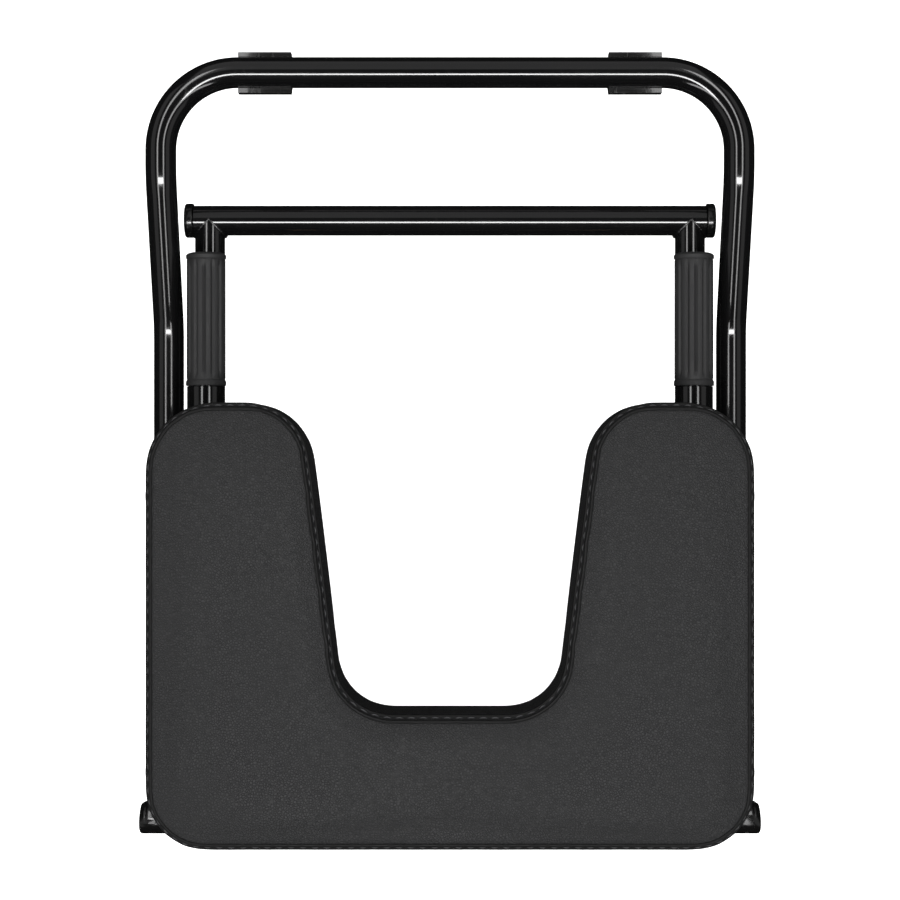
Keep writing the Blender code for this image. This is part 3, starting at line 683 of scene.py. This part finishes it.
def even_out(piece, move, passes):
    """Average each point's movement with its neighbours', several times over."""
    pairs = np.empty(len(piece.data.edges) * 2, dtype=np.int64)
    piece.data.edges.foreach_get("vertices", pairs)
    first, second = pairs.reshape(-1, 2).T
    count = np.bincount(pairs, minlength=len(move))[:, None] + 1.0
    for _pass in range(passes):
        total = move.copy()
        np.add.at(total, first, move[second])
        np.add.at(total, second, move[first])
        move = total / count
    return move


def nearest_on_outline(flat, outline):
    """Distance to the outline and the number of its nearest point, for each flat point."""
    distances = []
    numbers = []
    for part in np.array_split(flat, max(1, len(flat) // 2000)):
        gap = np.linalg.norm(part[:, None] - outline[None], axis=2)
        best = gap.argmin(axis=1)
        distances.append(gap[np.arange(len(part)), best])
        numbers.append(best)
    return np.concatenate(distances), np.concatenate(numbers)


def settle_pad(piece, rest):
    """Cap the swelling, hold it at the seam and the board, and press in the seam's groove."""
    s = sizes()
    points = read_points(piece)
    move = even_out(piece, points - rest, 24)
    far = np.linalg.norm(move, axis=1, keepdims=True)
    move *= np.minimum(1.0, s.crown / np.maximum(far, 1e-9))
    outline, normals, reach, _whole = pad_outline(1400)
    edge, near = nearest_on_outline(rest[:, :2], outline)
    along = reach[near]
    seam_gap = np.hypot(edge, rest[:, 2] - seam_height())
    free = smoothstep((seam_gap - 0.003) / 0.016) * smoothstep((rest[:, 2] - PAD_LOW[2]) / 0.016)
    points = rest + move * free[:, None]
    pull = 0.0009 + 0.0004 * np.cos(TURN * along / s.stitch_pitch)
    depth = pull * np.exp(-(seam_gap / 0.0026) ** 2)
    inward = unit(centre_line(points) - points)
    points += inward * depth[:, None]
    held = 1.0 - smoothstep((rest[:, 2] - PAD_LOW[2] - 0.010) / 0.016)
    held = (held * smoothstep((0.0042 - edge) / 0.0015))[:, None]
    wall = outline[near] + normals[near] * 0.0003
    points[:, :2] += (wall - points[:, :2]) * held
    points[:, 2] = np.maximum(points[:, 2], PAD_LOW[2])
    piece.data.vertices.foreach_set("co", points.ravel())
    piece.data.update()


def centre_line(points):
    """The middle of the U's arms and web nearest each point, at mid height."""
    s = sizes()
    arm = (PAD_HIGH[0] + s.mouth_half) / 2
    web = (PAD_LOW[1] + PAD_HIGH[1] - s.neck_depth) / 2
    x = np.clip(points[:, 0], -arm, arm)
    y = np.clip(points[:, 1], web, PAD_HIGH[1] - s.front_radius)
    in_web = points[:, 1] < PAD_HIGH[1] - s.neck_depth
    x = np.where(in_web, x, np.where(points[:, 0] > 0, arm, -arm))
    y = np.where(in_web, web, y)
    return np.column_stack((x, y, np.full(len(points), (PAD_LOW[2] + PAD_HIGH[2]) / 2)))


def surface_path(piece, path):
    """Each path point moved onto the piece's surface, with the surface's normal there."""
    depsgraph = bpy.context.evaluated_depsgraph_get()
    tree = BVHTree.FromObject(piece, depsgraph)
    hits = [tree.find_nearest(Vector(point))[:2] for point in path]
    places = np.array([tuple(place) for place, _normal in hits])
    normals = np.array([tuple(normal) for _place, normal in hits])
    return places, normals


class BENCH_OT_pad(bpy.types.Operator):
    """Make the U-shaped pad, blown up as cloth round its foam"""

    bl_idname = "bench.pad"
    bl_label = "Pad"

    def execute(self, context):
        pad = grid_piece("pad_upholstery", pad_rings(360, pad_profile()))
        settle_pad(pad, blow_up(pad))
        relax = pad.modifiers.new("relax", "SMOOTH")
        relax.factor = 0.5
        relax.iterations = 2
        finer = pad.modifiers.new("finer", "SUBSURF")
        finer.levels = 1
        finer.render_levels = 1
        apply_modifiers(pad)
        pad.data.shade_smooth()
        place(pad, "seat", "cover_vinyl", "pad_cover", "pad_foam")
        return {"FINISHED"}


def seam_line(pad, count, inset, drop):
    """Points and normals on the pad's skin along the seam, drop below it and inset from it."""
    points, normals, _reach, _whole = pad_outline(count)
    level = np.full(count, seam_height() - drop)
    guess = np.column_stack((points - normals * inset, level))
    return surface_path(pad, guess)


class BENCH_OT_seam(bpy.types.Operator):
    """Sew two cords and the row of stitches between them along the pad's upper edge"""

    bl_idname = "bench.seam"
    bl_label = "Seam"

    def execute(self, context):
        s = sizes()
        pad = bpy.data.objects["pad_upholstery"]
        upper = (0.6 * s.shoulder, -s.seam_drop)
        lower = (-0.001, s.band - 0.5 * s.seam_drop)
        for name, (inset, drop) in (("upper", upper), ("lower", lower)):
            places, outward = seam_line(pad, 1100, inset, drop)
            path = smooth_loop(places + outward * 0.1 * s.welt_radius, 3)
            rings = closed_sweep(path, outward, s.welt_radius)
            place(grid_piece("seam_cord_" + name, rings, along=True), "seat", "seam_cord")

        _points, _normals, _reach, whole = pad_outline(8)
        count = int(round(whole / s.stitch_pitch))
        inset, drop = (upper[0] + lower[0]) / 2 - 0.0012, (upper[1] + lower[1]) / 2 + 0.0006
        places, outward = seam_line(pad, count * 2, inset, drop)
        starts, ends = places[0::2], places[1::2]
        lean = unit(outward[0::2] + outward[1::2])
        threads = thread_runs(starts, starts + (ends - starts) * 1.36, lean, s.stitch_radius)
        place(many_grids("pad_stitches", threads), "seat", "thread")
        return {"FINISHED"}


def smooth_loop(points, passes):
    for _turn in range(passes):
        points = (np.roll(points, 1, axis=0) + 2 * points + np.roll(points, -1, axis=0)) / 4
    return points


def thread_runs(starts, ends, lean, radius):
    """Short threads that dive in at both ends: a half-round ring swept on a shallow arch."""
    t = np.linspace(0.0, 1.0, 6)
    arch = np.sin(np.pi * t)
    taper = 0.55 + 0.45 * arch
    run = (ends - starts)[:, None]
    path = starts[:, None] + run * t[None, :, None]
    path = path + lean[:, None] * (radius * (1.7 * arch - 0.8))[None, :, None]
    ahead = unit(run)
    across = np.cross(np.broadcast_to(ahead, path.shape), lean[:, None])
    angle = angles(6)
    ring = (np.cos(angle)[:, None] * lean[:, None, None]
            + np.sin(angle)[:, None] * across[:, :, None])
    return path[:, :, None] + radius * taper[None, :, None, None] * ring


class BENCH_OT_underside(bpy.types.Operator):
    """Turn the cover under the board and staple it"""

    bl_idname = "bench.underside"
    bl_label = "Underside"

    def execute(self, context):
        s = sizes()
        low = PAD_LOW[2]
        profile = [(0.0008, low + 0.0030), (0.0004, low + 0.0006), (0.0024, low - 0.0005),
                   (s.hem_width, low - 0.0005), (s.hem_width + 0.0004, low - 0.0001),
                   (0.0020, low + 0.0002)]
        rings = pad_rings(700, profile)
        _points, _normals, reach, whole = pad_outline(700)
        waves = np.round(whole / s.staple_pitch)
        pucker = 0.00018 * (1 + np.cos(TURN * waves * reach / whole))
        rings[2:5, :, 2] -= pucker[None]
        hem = grid_piece("cover_hem", rings, along=True)
        place(hem, "seat", "cover_vinyl")

        count = int(waves)
        points, normals, _reach, _whole = pad_outline(count)
        spot = points - normals * 0.6 * s.hem_width
        ahead = np.stack((-normals[:, 1], normals[:, 0]), axis=-1)
        level = np.full((count, 1), low - 0.0011)
        half = 0.0048
        starts = np.hstack((spot - ahead * half, level))
        ends = np.hstack((spot + ahead * half, level))
        lean = np.tile(np.array((0.0, 0.0, -1.0)), (count, 1))
        staples = many_grids("staples", thread_runs(starts, ends, lean, 0.0005))
        place(staples, "seat", "zinc_plate")
        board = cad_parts["seat_board"]
        board.data.materials.clear()
        board.data.materials.append(bpy.data.materials["plywood_finish"])
        return {"FINISHED"}


# ---- Legs ----


def loop_path():
    """Middle line and normals of the front leg: straight, up over a jog, and round the loop."""
    bend = np.linspace(0.0, BEND_ANGLE, 15)
    back = bend[::-1]
    bends_rise = 2 * BEND_R * (1 - np.cos(BEND_ANGLE))
    rise = BAR_Z - LEG_Z
    first = np.array([[FRONT_X, corners("front_leg_tube")[0][1], LEG_Z]])
    low = np.column_stack((np.full(15, FRONT_X), BAR_Y - JOG_REACH + BEND_R * np.sin(bend),
                           LEG_Z + BEND_R * (1 - np.cos(bend))))
    start = low[-1] + np.array((0.0, (rise - bends_rise) / np.tan(BEND_ANGLE),
                                rise - bends_rise))
    high = start + np.column_stack((np.zeros(15), BEND_R * (np.sin(BEND_ANGLE) - np.sin(back)),
                                    BEND_R * (np.cos(back) - np.cos(BEND_ANGLE))))
    turn = np.linspace(0.0, np.pi / 2, 29)
    corner = np.column_stack((FRONT_X - LOOP_R + LOOP_R * np.cos(turn),
                              BAR_Y - LOOP_R + LOOP_R * np.sin(turn), np.full(29, BAR_Z)))
    half = np.concatenate((first, low, high, corner))
    lean = np.concatenate(([0.0], bend, back, np.zeros(29)))
    normal = np.column_stack((np.zeros(len(half)), -np.sin(lean), np.cos(lean)))
    mirror = np.array((-1.0, 1.0, 1.0))
    return (np.concatenate((half, half[::-1] * mirror)),
            np.concatenate((normal, normal[::-1])))


class BENCH_OT_front_leg(bpy.types.Operator):
    """Bend the front leg's loop and fit its feet and plugs"""

    bl_idname = "bench.front_leg"
    bl_label = "Front leg"

    def execute(self, context):
        path, normals = loop_path()
        outer = swept(path, normals, LEG_R, 56)
        inner = swept(path, normals, LEG_R - WALL, 56)[::-1]
        loop = grid_piece("front_loop", np.concatenate((outer, inner)), along=True)
        place(loop, "front_leg", "powder_coat", "front_leg_tube")
        soften_pair("front_foot_", "front_leg", "foot_rubber", 0.0009, 3)
        soften_pair("front_leg_plug_", "front_leg", "plug_plastic", 0.0005)
        return {"FINISHED"}


def coped_tube(name, node, axis_y, radius, ends):
    """A tube along Y whose ends fit round bars: y(a) = bar +- sqrt(R^2 - (r sin a)^2)."""
    x = float(middle(node)[0])
    angle = angles(56)
    rows = []
    for r, pair in ((radius, ends), (radius - WALL, ends[::-1])):
        for bar_y, facing in pair:
            rise = r * np.sin(angle)
            y = bar_y + facing * np.sqrt(LEG_R ** 2 - rise ** 2)
            rows.append(np.column_stack((x + r * np.cos(angle), y, axis_y + rise)))
    return grid_piece(name, np.array(rows), along=True)


class BENCH_OT_rear_leg(bpy.types.Operator):
    """Make the rear leg's ladder of tubes and its rubber caps"""

    bl_idname = "bench.rear_leg"
    bl_label = "Rear leg"

    def execute(self, context):
        for node, name in (("rear_foot_bar", "rear_bar"), ("rear_crossbar", "crossbar")):
            tube = node_tube(name, node, 0, (0, middle(node)[1], LEG_Z), LEG_R, LEG_R - WALL)
            place(tube, "rear_leg", "powder_coat", node)
        for side, _sign in SIDES:
            node = "rear_side_tube_" + side
            ends = [(REAR_BAR_Y, 1.0), (CROSSBAR_Y, -1.0)]
            tube = coped_tube("ladder_side_" + side, node, LEG_Z, LEG_R, ends)
            place(tube, "rear_leg", "powder_coat", node)
        soften_pair("rear_foot_cap_", "rear_leg", "foot_rubber", 0.0008, 3)
        soften_pair("crossbar_cap_", "rear_leg", "foot_rubber", 0.0006, 3)
        return {"FINISHED"}


# ---- Seat frame and handles ----


class BENCH_OT_seat_frame(bpy.types.Operator):
    """Make the seat's rails, the tube between them, the handle tubes and the hinge ears"""

    bl_idname = "bench.seat_frame"
    bl_label = "Seat frame"

    def execute(self, context):
        for side, sign in SIDES:
            for node, name, radius in (
                    ("seat_rail_" + side, "rail_" + side, RAIL_R),
                    ("handle_tube_" + side, "handle_" + side, RAIL_R - WALL - FIT_GAP)):
                centre = (sign * RAIL_X, 0, RAIL_Z)
                tube = node_tube(name, node, 1, centre, radius, radius - WALL)
                place(tube, "seat", "powder_coat", node)
        soften_pair("hinge_ear_", "seat", "powder_coat", 0.0006)
        soften_pair("rail_plug_", "seat", "plug_plastic", 0.0005)
        y = float(middle("seat_rear_tube")[1])
        reach = RAIL_X - np.sqrt(RAIL_R ** 2 - LEG_R ** 2)
        tube = tube_piece("rear_spreader", (-reach, y, RAIL_Z), (reach, y, RAIL_Z),
                          LEG_R, LEG_R - WALL)
        place(tube, "seat", "powder_coat", "seat_rear_tube")
        return {"FINISHED"}


class BENCH_OT_grips(bpy.types.Operator):
    """Make the fluted rubber grips"""

    bl_idname = "bench.grips"
    bl_label = "Grips"

    def execute(self, context):
        s = sizes()
        angle = angles(s.flutes * 8)
        groove = s.flute_depth * (0.5 - 0.5 * np.cos(s.flutes * angle)) ** 4
        for side, sign in SIDES:
            node = "grip_" + side
            low, high = corners(node)
            rim = (high[0] - low[0]) / 2
            body = rim - 0.00045
            bore = RAIL_R - WALL
            span = high[1] - low[1]
            fade = ((0.0052, 0.0), (0.0075, 0.6), (0.0100, 1.0))
            stations = [(span - 0.0027, bore), (0.0, bore), (0.0, rim - 0.0005),
                        (0.0005, rim), (0.0028, rim), (0.0036, rim - 0.0004),
                        (0.0042, body - 0.0003)]
            stations += [(at, body - groove * part) for at, part in fade]
            stations += [(at, body - groove) for at in np.linspace(0.015, span - 0.015, 12)]
            stations += [(span - at, body - groove * part) for at, part in reversed(fade)]
            stations += [(span - 0.0046, body - 0.0003), (span - 0.0040, rim - 0.0002),
                         (span - 0.0034, rim), (span - 0.0018, rim),
                         (span - 0.0008, rim - 0.0010), (span - 0.0002, rim - 0.0028),
                         (span, rim - 0.0055)]
            origin = (sign * RAIL_X, low[1], RAIL_Z)
            grip = grid_piece(node + "_fluted", turned(origin, (0, 1, 0), stations, len(angle)))
            place(grip, "seat", "grip_rubber", node)
        return {"FINISHED"}


# ---- Welds, fasteners and locks ----


def joint_bead(x, bar_y, facing, z, radius, bar_radius):
    """A bead along the line where a tube along Y meets a bar along X."""
    s = sizes()
    angle = angles(220)
    rise = radius * np.sin(angle)
    stand = np.sqrt(np.maximum(bar_radius ** 2 - rise ** 2, 0.0))
    path = np.column_stack((x + radius * np.cos(angle), bar_y + facing * stand, z + rise))
    out = np.column_stack((np.cos(angle), np.zeros(220), np.sin(angle)))
    ripple = 1.0 + 0.10 * np.abs(np.sin(angle * 17))
    thick = s.bead_radius * (0.30 + 0.70 * np.cos(angle) ** 2) * ripple
    return closed_sweep(path, out, thick[:, None], 12)


def spreader_bead(sign, y):
    """A bead along the line where the spreader meets a rail's side."""
    s = sizes()
    angle = angles(220)
    rise = LEG_R * np.sin(angle)
    stand = np.sqrt(RAIL_R ** 2 - rise ** 2)
    x = sign * (RAIL_X - stand)
    path = np.column_stack((x, y + LEG_R * np.cos(angle), RAIL_Z + rise))
    out = np.column_stack((np.zeros(220), np.cos(angle), np.sin(angle)))
    ripple = 1.0 + 0.10 * np.abs(np.sin(angle * 17))
    return closed_sweep(path, out, (s.bead_radius * ripple)[:, None], 12)


def straight_bead(start, end, radius):
    """A rippled bead between two points, rounded off at both ends."""
    t = np.linspace(0.0, 1.0, 90)
    path = np.array(start) + t[:, None] * (np.array(end) - np.array(start))
    span = float(np.linalg.norm(np.array(end) - np.array(start)))
    ends = np.sqrt(np.clip(1 - np.abs(2 * t - 1) ** 6, 0.02, 1))
    ripple = 1.0 + 0.12 * np.abs(np.sin(np.pi * t * span / 0.0016))
    normals = np.tile(np.array((1.0, 0.03, 0.02)), (90, 1))
    return swept(path, normals, (radius * ends * ripple)[:, None], 12)


class BENCH_OT_welds(bpy.types.Operator):
    """Lay the weld beads where the tubes and plates join"""

    bl_idname = "bench.welds"
    bl_label = "Welds"

    def execute(self, context):
        s = sizes()
        spreader_y = float(middle("seat_rear_tube")[1])
        for side, sign in SIDES:
            for name, bar_y, facing in (("crossbar", CROSSBAR_Y, -1.0), ("foot", REAR_BAR_Y, 1.0)):
                rings = joint_bead(sign * RAIL_X, bar_y, facing, LEG_Z, LEG_R, LEG_R)
                bead = grid_piece(f"weld_{name}_{side}", rings, along=True)
                place(bead, "rear_leg", "powder_coat")
            bead = grid_piece("weld_spreader_" + side, spreader_bead(sign, spreader_y), along=True)
            place(bead, "seat", "powder_coat")

            low, high = corners("hinge_ear_" + side)
            x = sign * (RAIL_X + RAIL_R * 0.93)
            z = RAIL_Z - RAIL_R * 0.40
            rings = straight_bead((x, low[1] + 0.002, z), (x, high[1] - 0.002, z), s.bead_radius)
            place(grid_piece("weld_ear_" + side, rings), "seat", "powder_coat")

            low, high = corners("lock_stop_" + side)
            reach = RAIL_R * 1.02
            for edge, y in (("back", low[1]), ("front", high[1])):
                angle = np.linspace(np.pi * 0.84, np.pi * 1.16, 40)
                path = np.column_stack((sign * (RAIL_X + reach * np.cos(angle)),
                                        np.full(40, y), RAIL_Z + reach * np.sin(angle)))
                normals = np.tile(np.array((0.0, 1.0, 0.0)), (40, 1))
                ripple = 1.0 + 0.12 * np.abs(np.sin(angle * 30))
                rings = swept(path, normals, (0.7 * s.bead_radius * ripple)[:, None], 12)
                place(grid_piece(f"weld_stop_{edge}_{side}", rings), "seat", "powder_coat")
        return {"FINISHED"}


def hexagon(flats, angle):
    return flats / 2 / np.cos((angle + np.pi / 6) % (np.pi / 3) - np.pi / 6)


def span_sideways(node, sign):
    """The (y, z) of a node's axis along X, and its inner and outer end."""
    low, high = corners(node)
    _x, y, z = middle(node)
    inner, outer = (low[0], high[0]) if sign > 0 else (-high[0], -low[0])
    return y, z, inner, outer


def bolt_piece(name, node, sign):
    """A domed bolt with a hexagon socket, from its shank's end to its head."""
    y, z, inner, outer = span_sideways(node, sign)
    head = size_of(node)[1] / 2
    thick = 0.005
    angle = angles(72)
    socket = hexagon(0.0050, angle)
    under = outer - thick
    dome = np.linspace(0.0, np.pi / 2, 9)
    stations = [(inner, 0.0034), (inner + 0.0006, 0.0040), (under, 0.0040), (under, head - 0.0003),
                (under + 0.0004, head)]
    stations += [(under + 0.0016 + (thick - 0.0016) * np.sin(a),
                  0.0036 + (head - 0.0036) * np.cos(a)) for a in dome]
    stations += [(outer, socket + 0.0003), (outer - 0.0004, socket), (outer - 0.0028, socket),
                 (outer - 0.0034, 0.0003)]
    return grid_piece(name, turned((0.0, y, z), (sign, 0, 0), stations, 72))


def nut_piece(name, node, sign):
    """A hexagon nut with chamfered corners and a bore."""
    y, z, inner, outer = span_sideways(node, sign)
    angle = angles(72)
    flats = size_of(node)[1]
    shape = hexagon(flats, angle)
    face = np.minimum(shape, flats / 2 * 0.98)
    bore = BOLT_BORE
    stations = [(inner, face), (inner + 0.0006, np.minimum(shape, flats / 2 * 1.07)),
                (inner + 0.0010, shape), (outer - 0.0010, shape),
                (outer - 0.0006, np.minimum(shape, flats / 2 * 1.07)), (outer, face),
                (outer, bore + 0.0004), (outer - 0.0004, bore), (inner + 0.0004, bore),
                (inner, bore + 0.0004)]
    return grid_piece(name, turned((0.0, y, z), (sign, 0, 0), stations, 72), along=True)


class BENCH_OT_fasteners(bpy.types.Operator):
    """Make the bolts, nuts, spacers, washers and screws"""

    bl_idname = "bench.fasteners"
    bl_label = "Fasteners"

    def execute(self, context):
        for side, sign in SIDES:
            for kind, body in (("pivot_bolt_", "front_leg"), ("hinge_bolt_", "seat")):
                bolt = bolt_piece(kind + side + "_domed", kind + side, sign)
                place(bolt, body, "zinc_plate", kind + side)
            nut = nut_piece("pivot_nut_" + side + "_cut", "pivot_nut_" + side, sign)
            place(nut, "front_leg", "zinc_plate", "pivot_nut_" + side)
            for kind in ("pivot_spacer_", "hinge_washer_"):
                node = kind + side
                ring = node_tube(node + "_turned", node, 0, (0, middle(node)[1], LEG_Z),
                                 size_of(node)[1] / 2, BOLT_BORE)
                place(ring, "front_leg", "nylon", node)
        soften_pair("front_foot_screw_", "front_leg", "zinc_plate", 0.0003)
        for number in range(1, 5):
            node = f"board_screw_{number}"
            place(softened(node, 0.0003), "seat", "zinc_plate", node)
        return {"FINISHED"}


class BENCH_OT_locks(bpy.types.Operator):
    """Make the stop plates, the lock barrels, the sliding bolts and their knobs"""

    bl_idname = "bench.locks"
    bl_label = "Locks"

    def execute(self, context):
        soften_pair("lock_stop_", "seat", "powder_coat", 0.0005)
        soften_pair("lock_barrel_", "seat", "powder_coat", 0.0005)
        soften_pair("lock_bolt_", "lock_{}", "zinc_plate", 0.0004)
        soften_pair("lock_knob_", "lock_{}", "plug_plastic", 0.0006, 3)
        return {"FINISHED"}


# ---- Finishes and stage ----


class BENCH_OT_finishes(bpy.types.Operator):
    """Build the shader groups and the materials"""

    bl_idname = "bench.finishes"
    bl_label = "Finishes"

    def execute(self, context):
        for make_group in (make_mottle_group, make_pebble_group, make_scuff_group):
            make_group()
        for make_finish in (make_powder_coat, make_vinyl, make_thread, make_foot_rubber,
                            make_plywood, make_plain_finishes):
            make_finish()
        return {"FINISHED"}


def area_light(name, place_at, aim, width, depth, watts):
    lamp = bpy.data.lights.new(name, "AREA")
    lamp.shape = "RECTANGLE"
    lamp.size = width
    lamp.size_y = depth
    lamp.energy = watts
    light = bpy.data.objects.new(name, lamp)
    light.location = place_at
    direction = Vector(aim) - Vector(place_at)
    light.rotation_euler = direction.to_track_quat("-Z", "Y").to_euler()
    light.visible_camera = False
    bpy.context.scene.collection.objects.link(light)
    return light


def make_world():
    """White to the eye, soft grey as a source of light, dim in reflections."""
    world = bpy.data.worlds.new("studio")
    bpy.context.scene.world = world
    world.use_nodes = True
    nodes = Nodes(world.node_tree)
    back = world.node_tree.nodes["Background"]
    path = nodes.add("ShaderNodeLightPath")
    seen = nodes.math("MULTIPLY", path.outputs["Is Camera Ray"], 1.0)
    soft = nodes.math("MULTIPLY", path.outputs["Is Diffuse Ray"], 0.34)
    gloss = nodes.math("MULTIPLY", path.outputs["Is Glossy Ray"], 0.01)
    total = nodes.math("ADD", nodes.math("ADD", seen, soft), gloss)
    nodes.join(total, back.inputs["Strength"])
    back.inputs["Color"].default_value = (1.0, 1.0, 1.0, 1.0)


class BENCH_OT_stage(bpy.types.Operator):
    """Set the camera, the floor, the lights and the surroundings"""

    bl_idname = "bench.stage"
    bl_label = "Stage"

    def execute(self, context):
        scene = context.scene
        camera = bpy.data.objects.new("camera", bpy.data.cameras.new("camera"))
        camera.data.lens = 86.0
        camera.data.sensor_width = 36.0
        camera.location = (0.0, -0.0010, 1.45)
        scene.collection.objects.link(camera)
        scene.camera = camera
        scene.view_settings.view_transform = "Standard"
        make_world()
        floor_mesh = bpy.data.meshes.new("floor")
        half = 6.0
        floor_mesh.from_pydata(
            [(x * half, y * half, FLOOR_Z) for x, y in ((-1, -1), (1, -1), (1, 1), (-1, 1))],
            [], [(0, 1, 2, 3)])
        floor = bpy.data.objects.new("floor", floor_mesh)
        scene.collection.objects.link(floor)
        finish = Finish("floor_paper", IOR=1.3)
        finish.shader.inputs["Emission Color"].default_value = (1.0, 1.0, 1.0, 1.0)
        seen = finish.nodes.add("ShaderNodeLightPath").outputs["Is Camera Ray"]
        glow = finish.nodes.math("MULTIPLY", seen, 0.80)
        finish.nodes.join(glow, finish.shader.inputs["Emission Strength"])
        finish.mottled(colours().floor, 0.01, 3.0, 0.88, 0.95)
        floor_mesh.materials.append(finish.material)
        floor.visible_glossy = False
        area_light("overhead_strip", (0, -0.55, 2.1), (0, 0, 0), 1.5, 0.32, 27)
        for side, sign in SIDES:
            area_light(side + "_strip", (0.85 * sign, -0.5, 2.1), (0, -0.5, 0), 4.4, 0.36, 24)
            area_light(side + "_panel", (2.1 * sign, 0.3, 1.4), (0, 0.3, 0.05), 4.0, 1.3, 5)
        area_light("front_panel", (0, 1.9, 1.6), (0, 0, 0.05), 2.6, 3.0, 8)
        return {"FINISHED"}


OPERATORS = (
    BENCH_OT_finishes, BENCH_OT_stage, BENCH_OT_pad, BENCH_OT_seam, BENCH_OT_underside,
    BENCH_OT_front_leg, BENCH_OT_rear_leg, BENCH_OT_seat_frame, BENCH_OT_grips,
    BENCH_OT_welds, BENCH_OT_fasteners, BENCH_OT_locks)


class BENCH_PT_panel(bpy.types.Panel):
    """Lists the bench's makers, sizes and colours"""

    bl_idname = "BENCH_PT_panel"
    bl_label = "Headstand bench"
    bl_space_type = "VIEW_3D"
    bl_region_type = "UI"
    bl_category = "Bench"

    def draw(self, context):
        for operator in OPERATORS:
            self.layout.operator(operator.bl_idname)
        for group in (context.scene.bench_sizes, context.scene.bench_colours):
            box = self.layout.box()
            for name in group.__annotations__:
                box.prop(group, name)


CLASSES = (BenchSizes, BenchColours) + OPERATORS + (BENCH_PT_panel,)


def register():
    for item in CLASSES:
        bpy.utils.register_class(item)
    bpy.types.Scene.bench_sizes = bpy.props.PointerProperty(type=BenchSizes)
    bpy.types.Scene.bench_colours = bpy.props.PointerProperty(type=BenchColours)


def unregister():
    del bpy.types.Scene.bench_colours
    del bpy.types.Scene.bench_sizes
    for item in reversed(CLASSES):
        bpy.utils.unregister_class(item)


def main():
    register()
    for operator in OPERATORS:
        family, name = operator.bl_idname.split(".")
        getattr(getattr(bpy.ops, family), name)()


if __name__ == "__main__":
    main()
